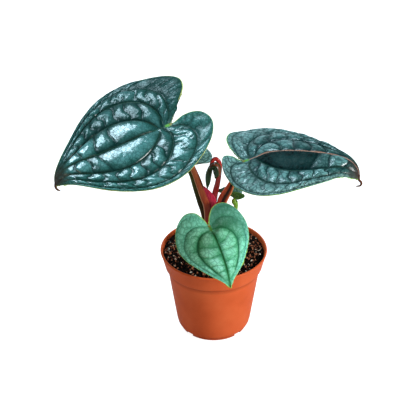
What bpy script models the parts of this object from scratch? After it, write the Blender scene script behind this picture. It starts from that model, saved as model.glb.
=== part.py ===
"""Potted anthurium: a heart-leaved foliage plant in a round nursery pot.

Metres, +Z up. The origin is on the pot's axis, at the flat underside of the pot.
Each named object is one separate piece: pot, potting mix, stem, sheath, leaf stalks and leaf blades.
"""
import math

import bmesh
import bpy
import numpy as np
from mathutils import Vector
from mathutils.geometry import delaunay_2d_cdt

MM = 0.001

# Pot, in millimetres: a thin moulded shell with a tapered collar and a notched foot.
POT_HEIGHT = 102.0
RIM_RADIUS = 60.0
COLLAR_HEIGHT = 19.4
COLLAR_FOOT_RADIUS = 55.2
SHOULDER_RADIUS = 52.3
SHOULDER_DROP = 3.0
BODY_FOOT_RADIUS = 42.5
FOOT_RADIUS = 37.5
FOOT_HEIGHT = 10.0
WALL = 1.3
RIM_WALL = 2.4
FLOOR = 2.0
POT_SEGMENTS = 48
NOTCH_COUNT = 4
NOTCH_WIDTH = 9.0
NOTCH_HEIGHT = 1.1
NOTCH_INNER_RADIUS = 27.0
DRAIN_RADIUS = 3.5
DRAIN_PLACE_RADIUS = 32.0

# Potting mix, in millimetres: it fills the pot to a little below the rim.
MIX_DEPTH_BELOW_RIM = 3.5
MIX_GAP = 0.35
MIX_FOOT_GAP = 1.2
MIX_BOTTOM_INSET = 1.4
MIX_LUMP = 1.3
MIX_RINGS = 9
MIX_EDGE_DROP = 1.0
MIX_CROWNING = 1.0

# Stem, in millimetres: short and ringed, with its root stub in a plain hole in the mix.
STEM_RADIUS = 12.0
STEM_TOP = 117.0
STEM_RING_HEIGHT = 4.6
STEM_RING_DEPTH = 0.7
STEM_SEGMENTS = 28
STUB_BOTTOM = 62.0
STUB_RADIUS = 8.0
STEM_GAP = 0.4
SOCKET_GAP = 0.35
STALK_SIDES = 10

# Leaf blades. The blade and its gap to the stalk are in millimetres, the rest in shares of the blade's
# length. A half has four side veins between the midrib, numbered 0, and the margin, numbered 1. Pillows
# stand between the veins: each pillow line has its number, its puff and its count of pillows.
BLADE_THICKNESS = 0.9
SEAT_GAP = 0.55
PUFF_SHARE = 0.026
SIDE_VEINS = (0.35, 0.55, 0.68, 0.80)
PILLOW_LINES = (
    (0.12, 1.0, 4), (0.24, 1.0, 4), (0.42, 0.8, 6), (0.48, 0.8, 6), (0.615, 0.62, 7), (0.74, 0.45, 7),
)
VALLEY_SHARE = 0.55
FULL_PUFF_WIDTH = 0.36
NARROW_TIP = 0.07
VEIN_END = 0.95
PILLOW_END = 0.93
MARGIN_STEPS = 2.1
MIDRIB_STEPS = 1.1
SIDE_VEIN_STEPS = 1.3


def clear_scene():
    for item in list(bpy.data.objects):
        bpy.data.objects.remove(item, do_unlink=True)


def finish(name, colour, roughness, metallic=0.0):
    """A plain material in the piece's own colour."""
    material = bpy.data.materials.new(name)
    material.use_nodes = True
    shader = material.node_tree.nodes["Principled BSDF"]
    shader.inputs["Base Color"].default_value = (*colour, 1.0)
    shader.inputs["Roughness"].default_value = roughness
    shader.inputs["Metallic"].default_value = metallic
    return material


def add_object(name, points_mm, faces, material, smooth=True):
    """One object from points in millimetres, with its faces turned outwards."""
    mesh = bpy.data.meshes.new(name)
    mesh.from_pydata([tuple(float(c) * MM for c in p) for p in points_mm], [], faces)
    work = bmesh.new()
    work.from_mesh(mesh)
    bmesh.ops.recalc_face_normals(work, faces=work.faces)
    work.to_mesh(mesh)
    work.free()
    if smooth:
        mesh.shade_smooth()
    mesh.materials.append(material)
    item = bpy.data.objects.new(name, mesh)
    bpy.context.scene.collection.objects.link(item)
    return item


def apply_boolean(item, cutter, operation="DIFFERENCE"):
    """Cut with, or join, another object, which is then removed."""
    step = item.modifiers.new("join", "BOOLEAN")
    step.operation = operation
    step.solver = "EXACT"
    step.object = cutter
    bpy.context.view_layer.update()
    graph = bpy.context.evaluated_depsgraph_get()
    result = bpy.data.meshes.new_from_object(item.evaluated_get(graph))
    item.modifiers.clear()
    old = item.data
    item.data = result
    bpy.data.meshes.remove(old)
    bpy.data.objects.remove(cutter, do_unlink=True)


def smooth_curve(points, share):
    """Points on a smooth curve through the given ones; share runs from 0 to 1."""
    points = np.asarray(points, dtype=float)
    last = len(points) - 1
    place = np.clip(np.asarray(share, dtype=float), 0.0, 1.0) * last
    index = np.minimum(place.astype(int), last - 1)
    t = (place - index)[..., None]
    before = points[np.clip(index - 1, 0, last)]
    start = points[index]
    end = points[index + 1]
    after = points[np.clip(index + 2, 0, last)]
    bend = 2 * before - 5 * start + 4 * end - after
    twist = 3 * start - before - 3 * end + after
    return 0.5 * (2 * start + (end - before) * t + bend * t ** 2 + twist * t ** 3)


def rounded_step(value):
    value = np.clip(value, 0.0, 1.0)
    return value * value * (3.0 - 2.0 * value)


# The heart outline of one blade half, from the leaf stalk round the lobe to the tip, as shares
# of the length along and across the midrib.
HEART = (
    (0.0, 0.0), (-0.12, 0.035), (-0.24, 0.12), (-0.28, 0.24), (-0.23, 0.36), (-0.10, 0.47),
    (0.10, 0.525), (0.32, 0.485), (0.54, 0.365), (0.74, 0.215), (0.90, 0.075), (1.0, 0.0),
)

CUPPED_HEART = (
    (0.0, 0.0), (-0.09, 0.12), (-0.19, 0.26), (-0.27, 0.41), (-0.24, 0.54), (-0.08, 0.62),
    (0.12, 0.61), (0.34, 0.51), (0.56, 0.37), (0.76, 0.21), (0.91, 0.07), (1.0, 0.0),
)

# One entry for each blade. The place is the top of its leaf stalk in millimetres; heading, pitch and
# roll turn it, arch and tip_droop bend the midrib down, sweep bends it sideways, lobe_lift raises the
# lobes, and fold and curl bend the halves down (left_half lies to the left, seen towards the tip).
LEAVES = {
    "left": {
        "place": (-46.2, 14.6, 250.3), "length": 140.0, "heading": 211.5, "pitch": -18.0, "roll": -15.0,
        "arch": -15.0, "tip_droop": 103.0, "sweep": 0.0, "lobe_lift": -16.0, "dimple": 5.0,
        "fold": (8.5, -5.0), "curl": (-3.0, 7.0), "spacing": 7.5, "puff": 1.0, "drip": 0.045,
        "left_half": (
            (0.0, 0.0), (-0.13, 0.0), (-0.24, 0.07), (-0.27, 0.19), (-0.20, 0.30), (-0.05, 0.40),
            (0.15, 0.48), (0.37, 0.48), (0.59, 0.39), (0.79, 0.25), (0.93, 0.10), (1.0, 0.0),
        ),
        "right_half": (
            (0.0, 0.0), (-0.11, 0.10), (-0.24, 0.18), (-0.28, 0.28), (-0.21, 0.39), (-0.07, 0.48),
            (0.12, 0.54), (0.35, 0.51), (0.56, 0.39), (0.75, 0.22), (0.90, 0.07), (1.0, 0.0),
        ),
    },
    "right": {
        "place": (32.0, 13.8, 205.9), "length": 131.0, "heading": -11.7, "pitch": 18.0, "roll": -7.0,
        "arch": 27.0, "tip_droop": 94.0, "sweep": -16.0, "lobe_lift": -40.0, "dimple": 6.0,
        "fold": (-8.0, 27.5), "curl": (5.6, -11.0), "spacing": 7.5, "puff": 1.0, "drip": 0.04,
        "left_half": (
            (0.0, 0.0), (-0.06, 0.09), (-0.16, 0.21), (-0.23, 0.31), (-0.21, 0.41), (-0.11, 0.49),
            (0.06, 0.50), (0.26, 0.42), (0.48, 0.28), (0.69, 0.145), (0.87, 0.05), (1.0, 0.0),
        ),
        "right_half": (
            (0.0, 0.0), (-0.10, -0.04), (-0.18, 0.0), (-0.16, 0.11), (-0.10, 0.24), (0.0, 0.39),
            (0.17, 0.50), (0.37, 0.51), (0.59, 0.42), (0.80, 0.28), (0.95, 0.12), (1.0, 0.0),
        ),
    },
    "front": {
        "place": (-5.3, -32.7, 152.2), "length": 78.9, "heading": -69.7, "pitch": -23.5, "roll": 6.3,
        "arch": 2.0, "tip_droop": 12.0, "sweep": -16.4, "lobe_lift": -11.0, "dimple": 4.1,
        "fold": (2.2, 15.0), "curl": (8.0, 12.0), "spacing": 5.5, "puff": 0.7, "drip": 0.02,
        "left_half": (
            (0.0, 0.0), (-0.12, 0.04), (-0.24, 0.13), (-0.28, 0.25), (-0.24, 0.37), (-0.11, 0.47),
            (0.09, 0.51), (0.31, 0.46), (0.53, 0.34), (0.73, 0.20), (0.89, 0.06), (1.0, 0.0),
        ),
        "right_half": (
            (0.0, 0.0), (-0.12, 0.04), (-0.24, 0.12), (-0.28, 0.24), (-0.23, 0.36), (-0.10, 0.48),
            (0.11, 0.54), (0.33, 0.50), (0.55, 0.38), (0.75, 0.23), (0.91, 0.08), (1.0, 0.0),
        ),
    },
    "back_left": {
        "place": (-32.0, 23.8, 193.6), "length": 62.0, "heading": 96.0, "pitch": 5.0, "roll": -22.0,
        "arch": 20.0, "tip_droop": 30.0, "sweep": 0.0, "lobe_lift": -50.0, "dimple": 3.0,
        "fold": (8.0, 8.0), "curl": (10.0, 10.0), "spacing": 6.5, "puff": 0.8, "drip": 0.03,
        "left_half": HEART, "right_half": HEART,
    },
    "back_right": {
        "place": (24.6, 15.0, 156.8), "length": 25.0, "heading": 184.0, "pitch": 34.0, "roll": 0.0,
        "arch": 20.0, "tip_droop": 10.0, "sweep": 0.0, "lobe_lift": -20.0, "dimple": 1.2,
        "fold": (-50.0, -34.0), "curl": (-6.0, -2.0), "spacing": 2.6, "puff": 0.0, "drip": 0.02,
        "left_half": CUPPED_HEART, "right_half": CUPPED_HEART,
    },
}


def midrib_station(q):
    """How far along the midrib the cross line to outline share q starts."""
    return np.clip((q - 0.2) / 0.8, 0.0, 1.0) ** 1.6


def first_share(u):
    """Outline share of the cross line on which side vein u leaves the midrib."""
    return 0.40 * (1.0 - u ** 3.2)


def flat_place(outline, share, q):
    """Flat place on the cross line to outline share q, a share of the way from midrib to margin."""
    edge = smooth_curve(outline, q)
    along = (1.0 - share) * midrib_station(q) + share * edge[..., 0]
    return along, share * edge[..., 1]


def vein_line(outline, u, steps, start=0.0, end=1.0):
    """Flat points along side vein u, evenly spaced: 0 is the midrib, 1 is the margin.

    A side vein leaves the lower midrib, swings out and then runs along the margin to the tip.
    """
    first = first_share(u)
    slowness = 0.5 * (1.0 - u) + 0.25 * (1.0 - u) ** 3
    v = np.linspace(0.0, 1.0, 400) ** 2
    reach = 1.0 - (1.0 - u) ** 2
    share = reach * (1.0 - np.maximum(1.0 - v, 1e-12) ** (1.0 / max(slowness, 1e-3)))
    along, across = flat_place(outline, share, first + (1.0 - first) * v)
    walked = np.concatenate([[0.0], np.cumsum(np.hypot(np.diff(along), np.diff(across)))])
    stops = np.linspace(start, end, steps + 1) * walked[-1]
    return np.interp(stops, walked, along), np.interp(stops, walked, across)


def midrib(leaf, along):
    """Place, pitch and sideways turn of the bent midrib, in shares of the length."""
    steps = (np.arange(24) + 0.5) / 24
    every = along[..., None] * steps

    def angles(s):
        ahead = np.clip(s, 0.0, None)
        pitch = leaf["pitch"] - leaf["arch"] * ahead + 4.0 * leaf["lobe_lift"] * np.clip(-s, 0.0, None)
        pitch = pitch - 16.0 * leaf["tip_droop"] * np.clip(s - 0.75, 0.0, None) ** 2
        return np.radians(pitch), math.radians(leaf["sweep"]) * ahead ** 2

    pitch, turn = angles(every)
    x = (np.cos(pitch) * np.cos(turn)).mean(-1) * along
    y = (np.cos(pitch) * np.sin(turn)).mean(-1) * along
    z = np.sin(pitch).mean(-1) * along
    pitch, turn = angles(along)
    return x, y, z, pitch, turn


def bent_place(leaf, side, along, across):
    """Turn a flat place into a point in millimetres on the bent blade; side is 1 left, -1 right."""
    x, y, z, pitch, turn = midrib(leaf, along)
    half = 0 if side > 0 else 1
    fold = math.radians(leaf["fold"][half])
    curl = math.radians(leaf["curl"][half]) / 0.45 + 1e-4
    sideways = (np.sin(fold + curl * across) - math.sin(fold)) / curl
    drop = (math.cos(fold) - np.cos(fold + curl * across)) / curl
    funnel = np.exp(-(along ** 2 + across ** 2) / 0.16 ** 2) - 1.0
    drop = drop + funnel * leaf["dimple"] / leaf["length"]
    point = np.stack([
        x + drop * np.sin(pitch) - side * sideways * np.sin(turn),
        y + side * sideways * np.cos(turn),
        z - drop * np.cos(pitch),
    ], -1) * leaf["length"]
    return turned(leaf, point) + np.array(leaf["place"])


def turned(leaf, vector):
    """Turn a vector from the blade's own axes to the plant's."""
    roll = math.radians(leaf["roll"])
    heading = math.radians(leaf["heading"])
    x = vector[..., 0]
    y = vector[..., 1] * math.cos(roll) - vector[..., 2] * math.sin(roll)
    z = vector[..., 1] * math.sin(roll) + vector[..., 2] * math.cos(roll)
    return np.stack([
        x * math.cos(heading) - y * math.sin(heading),
        x * math.sin(heading) + y * math.cos(heading),
        z,
    ], -1)


def trimmed(u, along, across):
    """Leave out a line's end where the blade is too narrow for it; also gives the half's width there."""
    width = np.abs(across) / (1.0 - (1.0 - u) ** 2)
    narrow = (along > 0.5) & (width < NARROW_TIP)
    count = int(np.argmax(narrow)) if narrow.any() else len(along)
    return along[:count], across[:count], width[:count]


def blade_half(leaf, outline):
    """Flat points of one half, their heights, its triangles, and how many points are on its rim."""
    spacing = leaf["spacing"] / leaf["length"]
    along, across = vein_line(outline, 1.0, int(MARGIN_STEPS / spacing))
    flat = [(x, y) for x, y in zip(along, across)]
    heights = [0.0] * len(flat)
    border = list(range(len(flat)))
    stations = [midrib_station(first_share(u)) for u in (0.0,) + SIDE_VEINS[:-1]]
    rest = np.linspace(1.0, 0.0, int(MIDRIB_STEPS / spacing))[1:-1] ** 1.3
    stations += list(1.0 - (1.0 - stations[0]) * rest)
    for station in sorted(stations, reverse=True):
        border.append(len(flat))
        flat.append((float(station), 0.0))
        heights.append(0.0)
    edges = []
    side_veins = SIDE_VEINS if leaf["puff"] > 0.0 else SIDE_VEINS[1:2]
    for u in side_veins:
        steps = int(SIDE_VEIN_STEPS / spacing)
        along, across, _ = trimmed(u, *vein_line(outline, u, steps, 0.0, VEIN_END))
        chain = list(range(len(flat), len(flat) + len(along) - 1))
        if u < SIDE_VEINS[-1]:
            edges += list(zip(chain, chain[1:]))
        flat += [(x, y) for x, y in zip(along[1:], across[1:])]
        heights += [0.0] * len(chain)
    for u, puff, pillows in PILLOW_LINES if leaf["puff"] > 0.0 else ():
        along, across, width = trimmed(u, *vein_line(outline, u, 2 * pillows, 0.0, PILLOW_END))
        for step in range(1, len(along)):
            flat.append((along[step], across[step]))
            swell = 1.0 if step % 2 else VALLEY_SHARE
            fade = min(1.0, width[step] / FULL_PUFF_WIDTH)
            heights.append(PUFF_SHARE * leaf["length"] * leaf["puff"] * puff * swell * fade)
    return flat, heights, border, edges


def half_triangles(flat, border, edges):
    """Triangles between the flat points inside the border, with every side vein as an edge."""
    points = [Vector(place) for place in flat]
    ring = list(zip(border, border[1:] + border[:1]))
    result = delaunay_2d_cdt(points, ring + edges, [], 1, 1e-6)
    source = result[3]
    return [tuple(source[corner][0] for corner in face) for face in result[2]]


def build_blade(name, leaf, material):
    """A closed blade: a puffed upper skin, the same skin below it, and a thin rim between them."""
    points = []
    lift = []
    triangles = []
    shared = {}
    for side, outline in ((1, leaf["left_half"]), (-1, leaf["right_half"])):
        flat, heights, border, edges = blade_half(leaf, outline)
        number = []
        for place, height in zip(flat, heights):
            key = (round(place[0], 6), side * round(place[1], 6))
            on_midrib = abs(place[1]) < 1e-9 and place[0] > -1e-9
            if on_midrib and key in shared:
                number.append(shared[key])
                continue
            if on_midrib:
                shared[key] = len(points)
            number.append(len(points))
            reach = place[0] + (leaf["drip"] if place[0] > 0.999 else 0.0)
            points.append(bent_place(leaf, side, np.array([reach]), np.array([place[1]]))[0])
            lift.append(height)
        for face in half_triangles(flat, border, edges):
            corners = [number[corner] for corner in face]
            triangles.append(tuple(corners if side > 0 else corners[::-1]))
    return close_blade(name, leaf, np.array(points), np.array(lift), triangles, material)


def close_blade(name, leaf, skin, lift, triangles, material):
    """Lift the pillows, copy the skin to the lower side and close the open edge with a thin rim."""
    normals = vertex_normals(skin, triangles)
    upward = turned(leaf, np.array([0.0, 0.0, 1.0]))
    if (normals @ upward).mean() < 0:
        normals = -normals
        triangles = [face[::-1] for face in triangles]
    upper = skin + normals * lift[:, None]
    lower = upper - vertex_normals(upper, triangles) * BLADE_THICKNESS
    count = len(skin)
    directed = {(face[i], face[(i + 1) % 3]) for face in triangles for i in range(3)}
    rim = [(a, b) for a, b in directed if (b, a) not in directed]
    faces = list(triangles) + [tuple(corner + count for corner in face[::-1]) for face in triangles]
    for a, b in sorted(rim):
        faces += [(b, a, a + count), (b, a + count, b + count)]
    return add_object(name, np.concatenate([upper, lower]), faces, material)


def vertex_normals(points, triangles):
    corners = points[np.array(triangles)]
    face = np.cross(corners[:, 1] - corners[:, 0], corners[:, 2] - corners[:, 0])
    total = np.zeros_like(points)
    for corner in range(3):
        np.add.at(total, np.array(triangles)[:, corner], face)
    return total / np.maximum(np.linalg.norm(total, axis=1, keepdims=True), 1e-12)


def frames_along(path):
    """Tangent and two side directions at each point, carried along without twisting."""
    tangent = np.gradient(path, axis=0)
    tangent /= np.linalg.norm(tangent, axis=1, keepdims=True)
    side = np.cross(tangent[0], (0.0, 1.0, 0.0))
    side /= np.linalg.norm(side)
    sides = []
    for direction in tangent:
        side = side - direction * (side @ direction)
        side /= np.linalg.norm(side)
        sides.append(side)
    sides = np.array(sides)
    return tangent, sides, np.cross(tangent, sides)


def sweep(name, path, radii, section, material):
    """A closed stalk: the section, of radius about 1, carried along the path and scaled by the radii."""
    path = np.asarray(path, dtype=float)
    radii = np.asarray(radii, dtype=float)
    _, side, front = frames_along(path)
    section = np.asarray(section, dtype=float)
    count = len(section)
    points = []
    for place, radius, across, ahead in zip(path, radii, side, front):
        for x, y in section:
            points.append(place + across * x * radius + ahead * y * radius)
    faces = []
    for ring in range(len(path) - 1):
        for corner in range(count):
            a = ring * count + corner
            b = ring * count + (corner + 1) % count
            faces.append((a, b, b + count, a + count))
    points += [path[0], path[-1]]
    first = len(path) * count
    last = first - count
    for corner in range(count):
        after = (corner + 1) % count
        faces.append((first, after, corner))
        faces.append((first + 1, last + corner, last + after))
    return add_object(name, points, faces, material)


def stalk_section(sides, ribs=3, depth=0.08, groove=0.0):
    """A rounded section with blunt ribs, and a groove down the front."""
    section = []
    for step in range(sides):
        angle = 2 * math.pi * step / sides + math.pi / 2
        radius = 1.0 + depth * math.cos(ribs * angle)
        away = min(step, sides - step) * 2 * math.pi / sides
        radius -= groove * math.exp(-(away / 0.42) ** 2)
        section.append((radius * math.cos(angle), radius * math.sin(angle)))
    return section


def revolve(name, profile, material, segments=POT_SEGMENTS):
    """A closed turned shape from a profile of radius and height; radius 0 makes a pole."""
    points = []
    rings = []
    for radius, height in profile:
        if radius == 0.0:
            rings.append([len(points)])
            points.append((0.0, 0.0, height))
            continue
        rings.append(list(range(len(points), len(points) + segments)))
        for step in range(segments):
            angle = 2 * math.pi * step / segments
            points.append((radius * math.cos(angle), radius * math.sin(angle), height))
    faces = []
    for lower, upper in zip(rings, rings[1:]):
        for step in range(segments):
            after = (step + 1) % segments
            if len(lower) == 1:
                faces.append((lower[0], upper[after], upper[step]))
            elif len(upper) == 1:
                faces.append((lower[step], lower[after], upper[0]))
            else:
                faces.append((lower[step], lower[after], upper[after], upper[step]))
    return add_object(name, points, faces, material)


def inner_radius(height):
    """Inner radius of the pot's wall at a height."""
    collar = POT_HEIGHT - COLLAR_HEIGHT
    heights = [0.0, FOOT_HEIGHT, collar - SHOULDER_DROP, collar, POT_HEIGHT]
    outer = [FOOT_RADIUS, BODY_FOOT_RADIUS, SHOULDER_RADIUS, COLLAR_FOOT_RADIUS, RIM_RADIUS]
    walls = [WALL + 0.6, WALL, WALL, RIM_WALL, RIM_WALL]
    return float(np.interp(height, heights, np.array(outer) - np.array(walls)))


def build_pot(material):
    """The pot's shell, turned, with four notches and drain holes at the foot."""
    top = POT_HEIGHT
    collar = POT_HEIGHT - COLLAR_HEIGHT
    outside = [
        (0.0, 0.0), (NOTCH_INNER_RADIUS - 3.0, 0.0), (FOOT_RADIUS, 0.0),
        (FOOT_RADIUS + 2.6, FOOT_HEIGHT * 0.3), (BODY_FOOT_RADIUS, FOOT_HEIGHT),
        (SHOULDER_RADIUS, collar - SHOULDER_DROP), (SHOULDER_RADIUS + 0.9, collar - 1.2),
        (COLLAR_FOOT_RADIUS, collar), (COLLAR_FOOT_RADIUS + 0.5, collar + 1.5),
        (RIM_RADIUS - 0.4, top - 2.2), (RIM_RADIUS, top - 1.2), (RIM_RADIUS - 0.6, top - 0.2),
    ]
    inside = [
        (RIM_RADIUS - 1.4, top), (inner_radius(top) + 0.1, top - 0.9),
        (inner_radius(collar), collar), (inner_radius(collar - SHOULDER_DROP), collar - SHOULDER_DROP),
        (inner_radius(FOOT_HEIGHT), FOOT_HEIGHT), (inner_radius(3.5), 3.5),
        (FOOT_RADIUS - 3.0, FLOOR), (NOTCH_INNER_RADIUS - 4.0, FLOOR), (0.0, FLOOR),
    ]
    pot = revolve("pot", outside + inside, material)
    for number in range(NOTCH_COUNT):
        angle = math.pi / 4 + 2 * math.pi * number / NOTCH_COUNT
        notch = notch_cutter(angle, material)
        apply_boolean(pot, notch)
        drain = drain_cutter(angle, material)
        apply_boolean(pot, drain)
    return pot


def notch_cutter(angle, material):
    """A low block that cuts one notch across the foot's edge."""
    near = NOTCH_INNER_RADIUS
    far = FOOT_RADIUS + 8.0
    half = NOTCH_WIDTH / 2
    corners = []
    for height in (-1.0, NOTCH_HEIGHT):
        for along, across in ((near, -half), (far, -half), (far, half), (near, half)):
            x = along * math.cos(angle) - across * math.sin(angle)
            y = along * math.sin(angle) + across * math.cos(angle)
            corners.append((x, y, height))
    faces = [(0, 3, 2, 1), (4, 5, 6, 7), (0, 1, 5, 4), (1, 2, 6, 5), (2, 3, 7, 6), (3, 0, 4, 7)]
    return add_object("notch", corners, faces, material, smooth=False)


def drain_cutter(angle, material):
    """An upright drill that opens one drain hole above a notch."""
    centre = np.array([math.cos(angle), math.sin(angle)]) * DRAIN_PLACE_RADIUS
    angles = np.arange(12) * math.pi / 6
    profile = [(DRAIN_RADIUS * math.cos(a), DRAIN_RADIUS * math.sin(a)) for a in angles]
    path = [(centre[0], centre[1], -1.0), (centre[0], centre[1], FLOOR + 1.0)]
    return sweep("drain", path, [1.0, 1.0], profile, material)


def mix_lumps(x, y):
    """Height of the mix's rough surface: a few crossing waves that never repeat in the pot."""
    waves = ((0.31, 0.22, 0.4), (-0.24, 0.37, 2.1), (0.52, -0.13, 4.0), (0.11, 0.61, 5.2))
    return sum(math.sin(a * x + b * y + c) for a, b, c in waves) / len(waves)


def build_mix(material):
    """The potting mix: it follows the pot's inside, with a rough top and a plain hole for the stub."""
    level = POT_HEIGHT - MIX_DEPTH_BELOW_RIM
    hole = STUB_RADIUS + STEM_GAP
    mouth = STEM_RADIUS + STEM_GAP
    collar = POT_HEIGHT - COLLAR_HEIGHT
    segments = POT_SEGMENTS
    side = []
    bottom = FLOOR + MIX_GAP
    side.append((inner_radius(bottom) - MIX_FOOT_GAP - MIX_BOTTOM_INSET, bottom))
    side.append((inner_radius(3.5) - MIX_FOOT_GAP, 3.5))
    for height in (FOOT_HEIGHT, collar - SHOULDER_DROP, collar):
        side.append((inner_radius(height) - MIX_GAP, height))
    edge = inner_radius(level - MIX_EDGE_DROP) - MIX_GAP
    radii = np.linspace(edge, mouth, MIX_RINGS)
    top = [(radius, None) for radius in radii]
    well = [(mouth, level - 6.0), (hole, level - 10.0), (hole, STUB_BOTTOM - STEM_GAP)]
    points = [(0.0, 0.0, bottom)]
    rings = [[0]]
    for radius, height in side + top + well:
        ring = []
        for step in range(segments):
            angle = 2 * math.pi * step / segments
            x = radius * math.cos(angle)
            y = radius * math.sin(angle)
            z = height
            if height is None:
                share = (edge - radius) / (edge - mouth)
                fade = math.sin(math.pi * min(0.9 * share + 0.08, 1.0)) ** 0.5
                rough = MIX_LUMP * mix_lumps(x, y) * fade
                rise = (MIX_EDGE_DROP + MIX_CROWNING) * math.sin(0.5 * math.pi * share) ** 0.7
                z = level - MIX_EDGE_DROP + rise + rough
            ring.append(len(points))
            points.append((x, y, z))
        rings.append(ring)
    rings.append([len(points)])
    points.append((0.0, 0.0, STUB_BOTTOM - STEM_GAP))
    faces = []
    for lower, upper in zip(rings, rings[1:]):
        for step in range(segments):
            after = (step + 1) % segments
            if len(lower) == 1:
                faces.append((lower[0], upper[after], upper[step]))
            elif len(upper) == 1:
                faces.append((lower[step], lower[after], upper[0]))
            else:
                faces.append((lower[step], lower[after], upper[after]))
                faces.append((lower[step], upper[after], upper[step]))
    return add_object("potting_mix", points, faces, material)


# Leaf stalks: centre points from the stem upwards and a radius for each, in millimetres. The upper end
# is worked out from the blade that the stalk carries.
STALKS = {
    "left": {
        "points": (
            (-7.2, -1.5, 110.0), (-7.0, -1.0, 140.0), (-7.8, -0.5, 159.0), (-12.0, 0.6, 171.5),
            (-17.7, 2.2, 189.5), (-22.6, 4.0, 202.0), (-33.5, 8.8, 225.5),
        ),
        "radii": (3.0, 3.2, 4.0, 3.9, 3.5, 3.1, 2.8), "top": 1.3, "approach": 6.5, "groove": 0.0,
    },
    "right": {
        "points": (
            (6.4, -1.6, 110.0), (6.9, -1.1, 136.0), (7.9, 0.2, 156.0), (9.9, 1.0, 166.0),
            (16.0, 1.8, 177.5), (20.4, 3.8, 185.5),
        ),
        "radii": (3.2, 3.7, 4.9, 5.4, 4.5, 3.4), "top": 1.3, "approach": 6.5, "groove": 0.42,
    },
    "front": {
        "points": ((-0.8, -8.3, 110.0), (-1.4, -13.0, 122.0), (-2.8, -20.5, 133.5), (-4.2, -27.0, 142.0)),
        "radii": (2.2, 2.1, 2.0, 1.9), "top": 1.0, "approach": 5.0, "groove": 0.0,
    },
    "back_left": {
        "points": (
            (-5.2, 6.8, 110.0), (-12.2, 7.6, 144.5), (-15.7, 8.2, 157.0), (-20.9, 9.4, 176.5),
            (-25.2, 12.0, 191.0),
        ),
        "radii": (2.5, 2.6, 2.6, 2.5, 2.2), "top": 1.0, "approach": 5.0, "groove": 0.0,
    },
    "back_right": {
        "points": ((5.9, 6.4, 110.0), (14.2, 8.8, 122.0), (22.0, 11.8, 136.0), (24.6, 14.2, 147.5)),
        "radii": (1.9, 1.8, 1.7, 1.7), "top": 0.9, "approach": 1.6, "groove": 0.0,
    },
}

# The youngest leaf: its stalk is hooked over at the top and its blade is still rolled up.
YOUNG_STALK = (
    (-0.4, 3.2, 110.0), (-0.8, 2.8, 136.0), (-0.3, 2.6, 155.0), (1.2, 2.0, 172.6), (3.8, 0.9, 186.0),
    (5.6, 0.2, 200.0), (6.0, 0.0, 208.0), (4.7, 0.0, 213.8), (1.4, 0.0, 216.8), (-1.8, -0.6, 214.3),
    (-3.2, -1.0, 209.8),
)
YOUNG_STALK_RADII = (2.4, 2.4, 2.8, 3.2, 2.9, 2.6, 2.5, 2.4, 2.3, 2.1, 1.9)
YOUNG_ROLL = (
    (-3.35, -1.05, 209.4), (-4.4, -1.7, 204.5), (-5.9, -2.4, 198.0), (-6.6, -3.4, 189.5),
    (-7.3, -4.2, 181.6),
)
YOUNG_ROLL_RADII = (1.6, 3.2, 3.8, 3.0, 0.5)
YOUNG_LOBE = (
    (-4.4, -2.4, 204.0), (-1.6, -5.8, 207.6), (2.0, -6.4, 208.4), (3.6, -6.6, 203.0), (1.6, -6.0, 196.2),
)
YOUNG_LOBE_RADII = (1.4, 2.2, 2.8, 2.9, 0.4)

# The sheath round the young stalk: its centre line, half width and inward curve from foot to tip.
SHEATH_LINE = (
    (-0.5, -1.1, 117.5), (-0.5, -1.7, 136.0), (-0.3, -2.3, 150.0), (-0.3, -2.8, 160.0),
    (-1.6, -2.9, 166.0), (-3.6, -2.5, 171.0), (-7.4, -1.6, 177.5), (-11.0, -0.8, 183.0),
)
SHEATH_HALF_WIDTH = (2.6, 2.6, 2.8, 3.0, 4.0, 4.2, 2.9, 0.3)
SHEATH_CURVE = (1.3, 1.3, 1.2, 1.2, 1.1, 0.8, 0.4, 0.0)
SHEATH_THICKNESS = 1.0


def stalk_path(key, steps):
    """Centre points and radii of a leaf stalk that ends just under its blade's dimple."""
    stalk = STALKS[key]
    leaf = LEAVES[key]
    near = 0.03
    spots = bent_place(leaf, 1, np.array([0.0, near, 0.0]), np.array([0.0, 0.0, near]))
    right = bent_place(leaf, -1, np.zeros(1), np.full(1, near))[0]
    normal = np.cross(spots[1] - spots[0], spots[2] - right)
    normal /= np.linalg.norm(normal)
    end = spots[0] - normal * (BLADE_THICKNESS + SEAT_GAP)
    points = list(stalk["points"]) + [tuple(end - normal * stalk["approach"]), tuple(end)]
    radii = list(stalk["radii"]) + [stalk["top"] + 0.8, stalk["top"]]
    return smooth_path(points, radii, steps)


def smooth_path(points, radii, steps):
    """Evenly spread points, and the radius at each, along a smooth curve through the given points."""
    share = np.linspace(0.0, 1.0, 20 * steps)
    path = smooth_curve(points, share)
    walked = np.concatenate([[0.0], np.cumsum(np.linalg.norm(np.diff(path, axis=0), axis=1))])
    share = np.interp(np.linspace(0.0, walked[-1], steps), walked, share)
    return smooth_curve(points, share), smooth_curve(np.array(radii)[:, None], share)[:, 0]


def build_stalk(key, material):
    length = np.linalg.norm(np.diff(np.array(STALKS[key]["points"]), axis=0), axis=1).sum()
    path, radii = stalk_path(key, 9 + int(length / 10.0))
    section = stalk_section(STALK_SIDES, groove=STALKS[key]["groove"])
    return sweep("stalk_" + key, path, radii, section, material)


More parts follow.
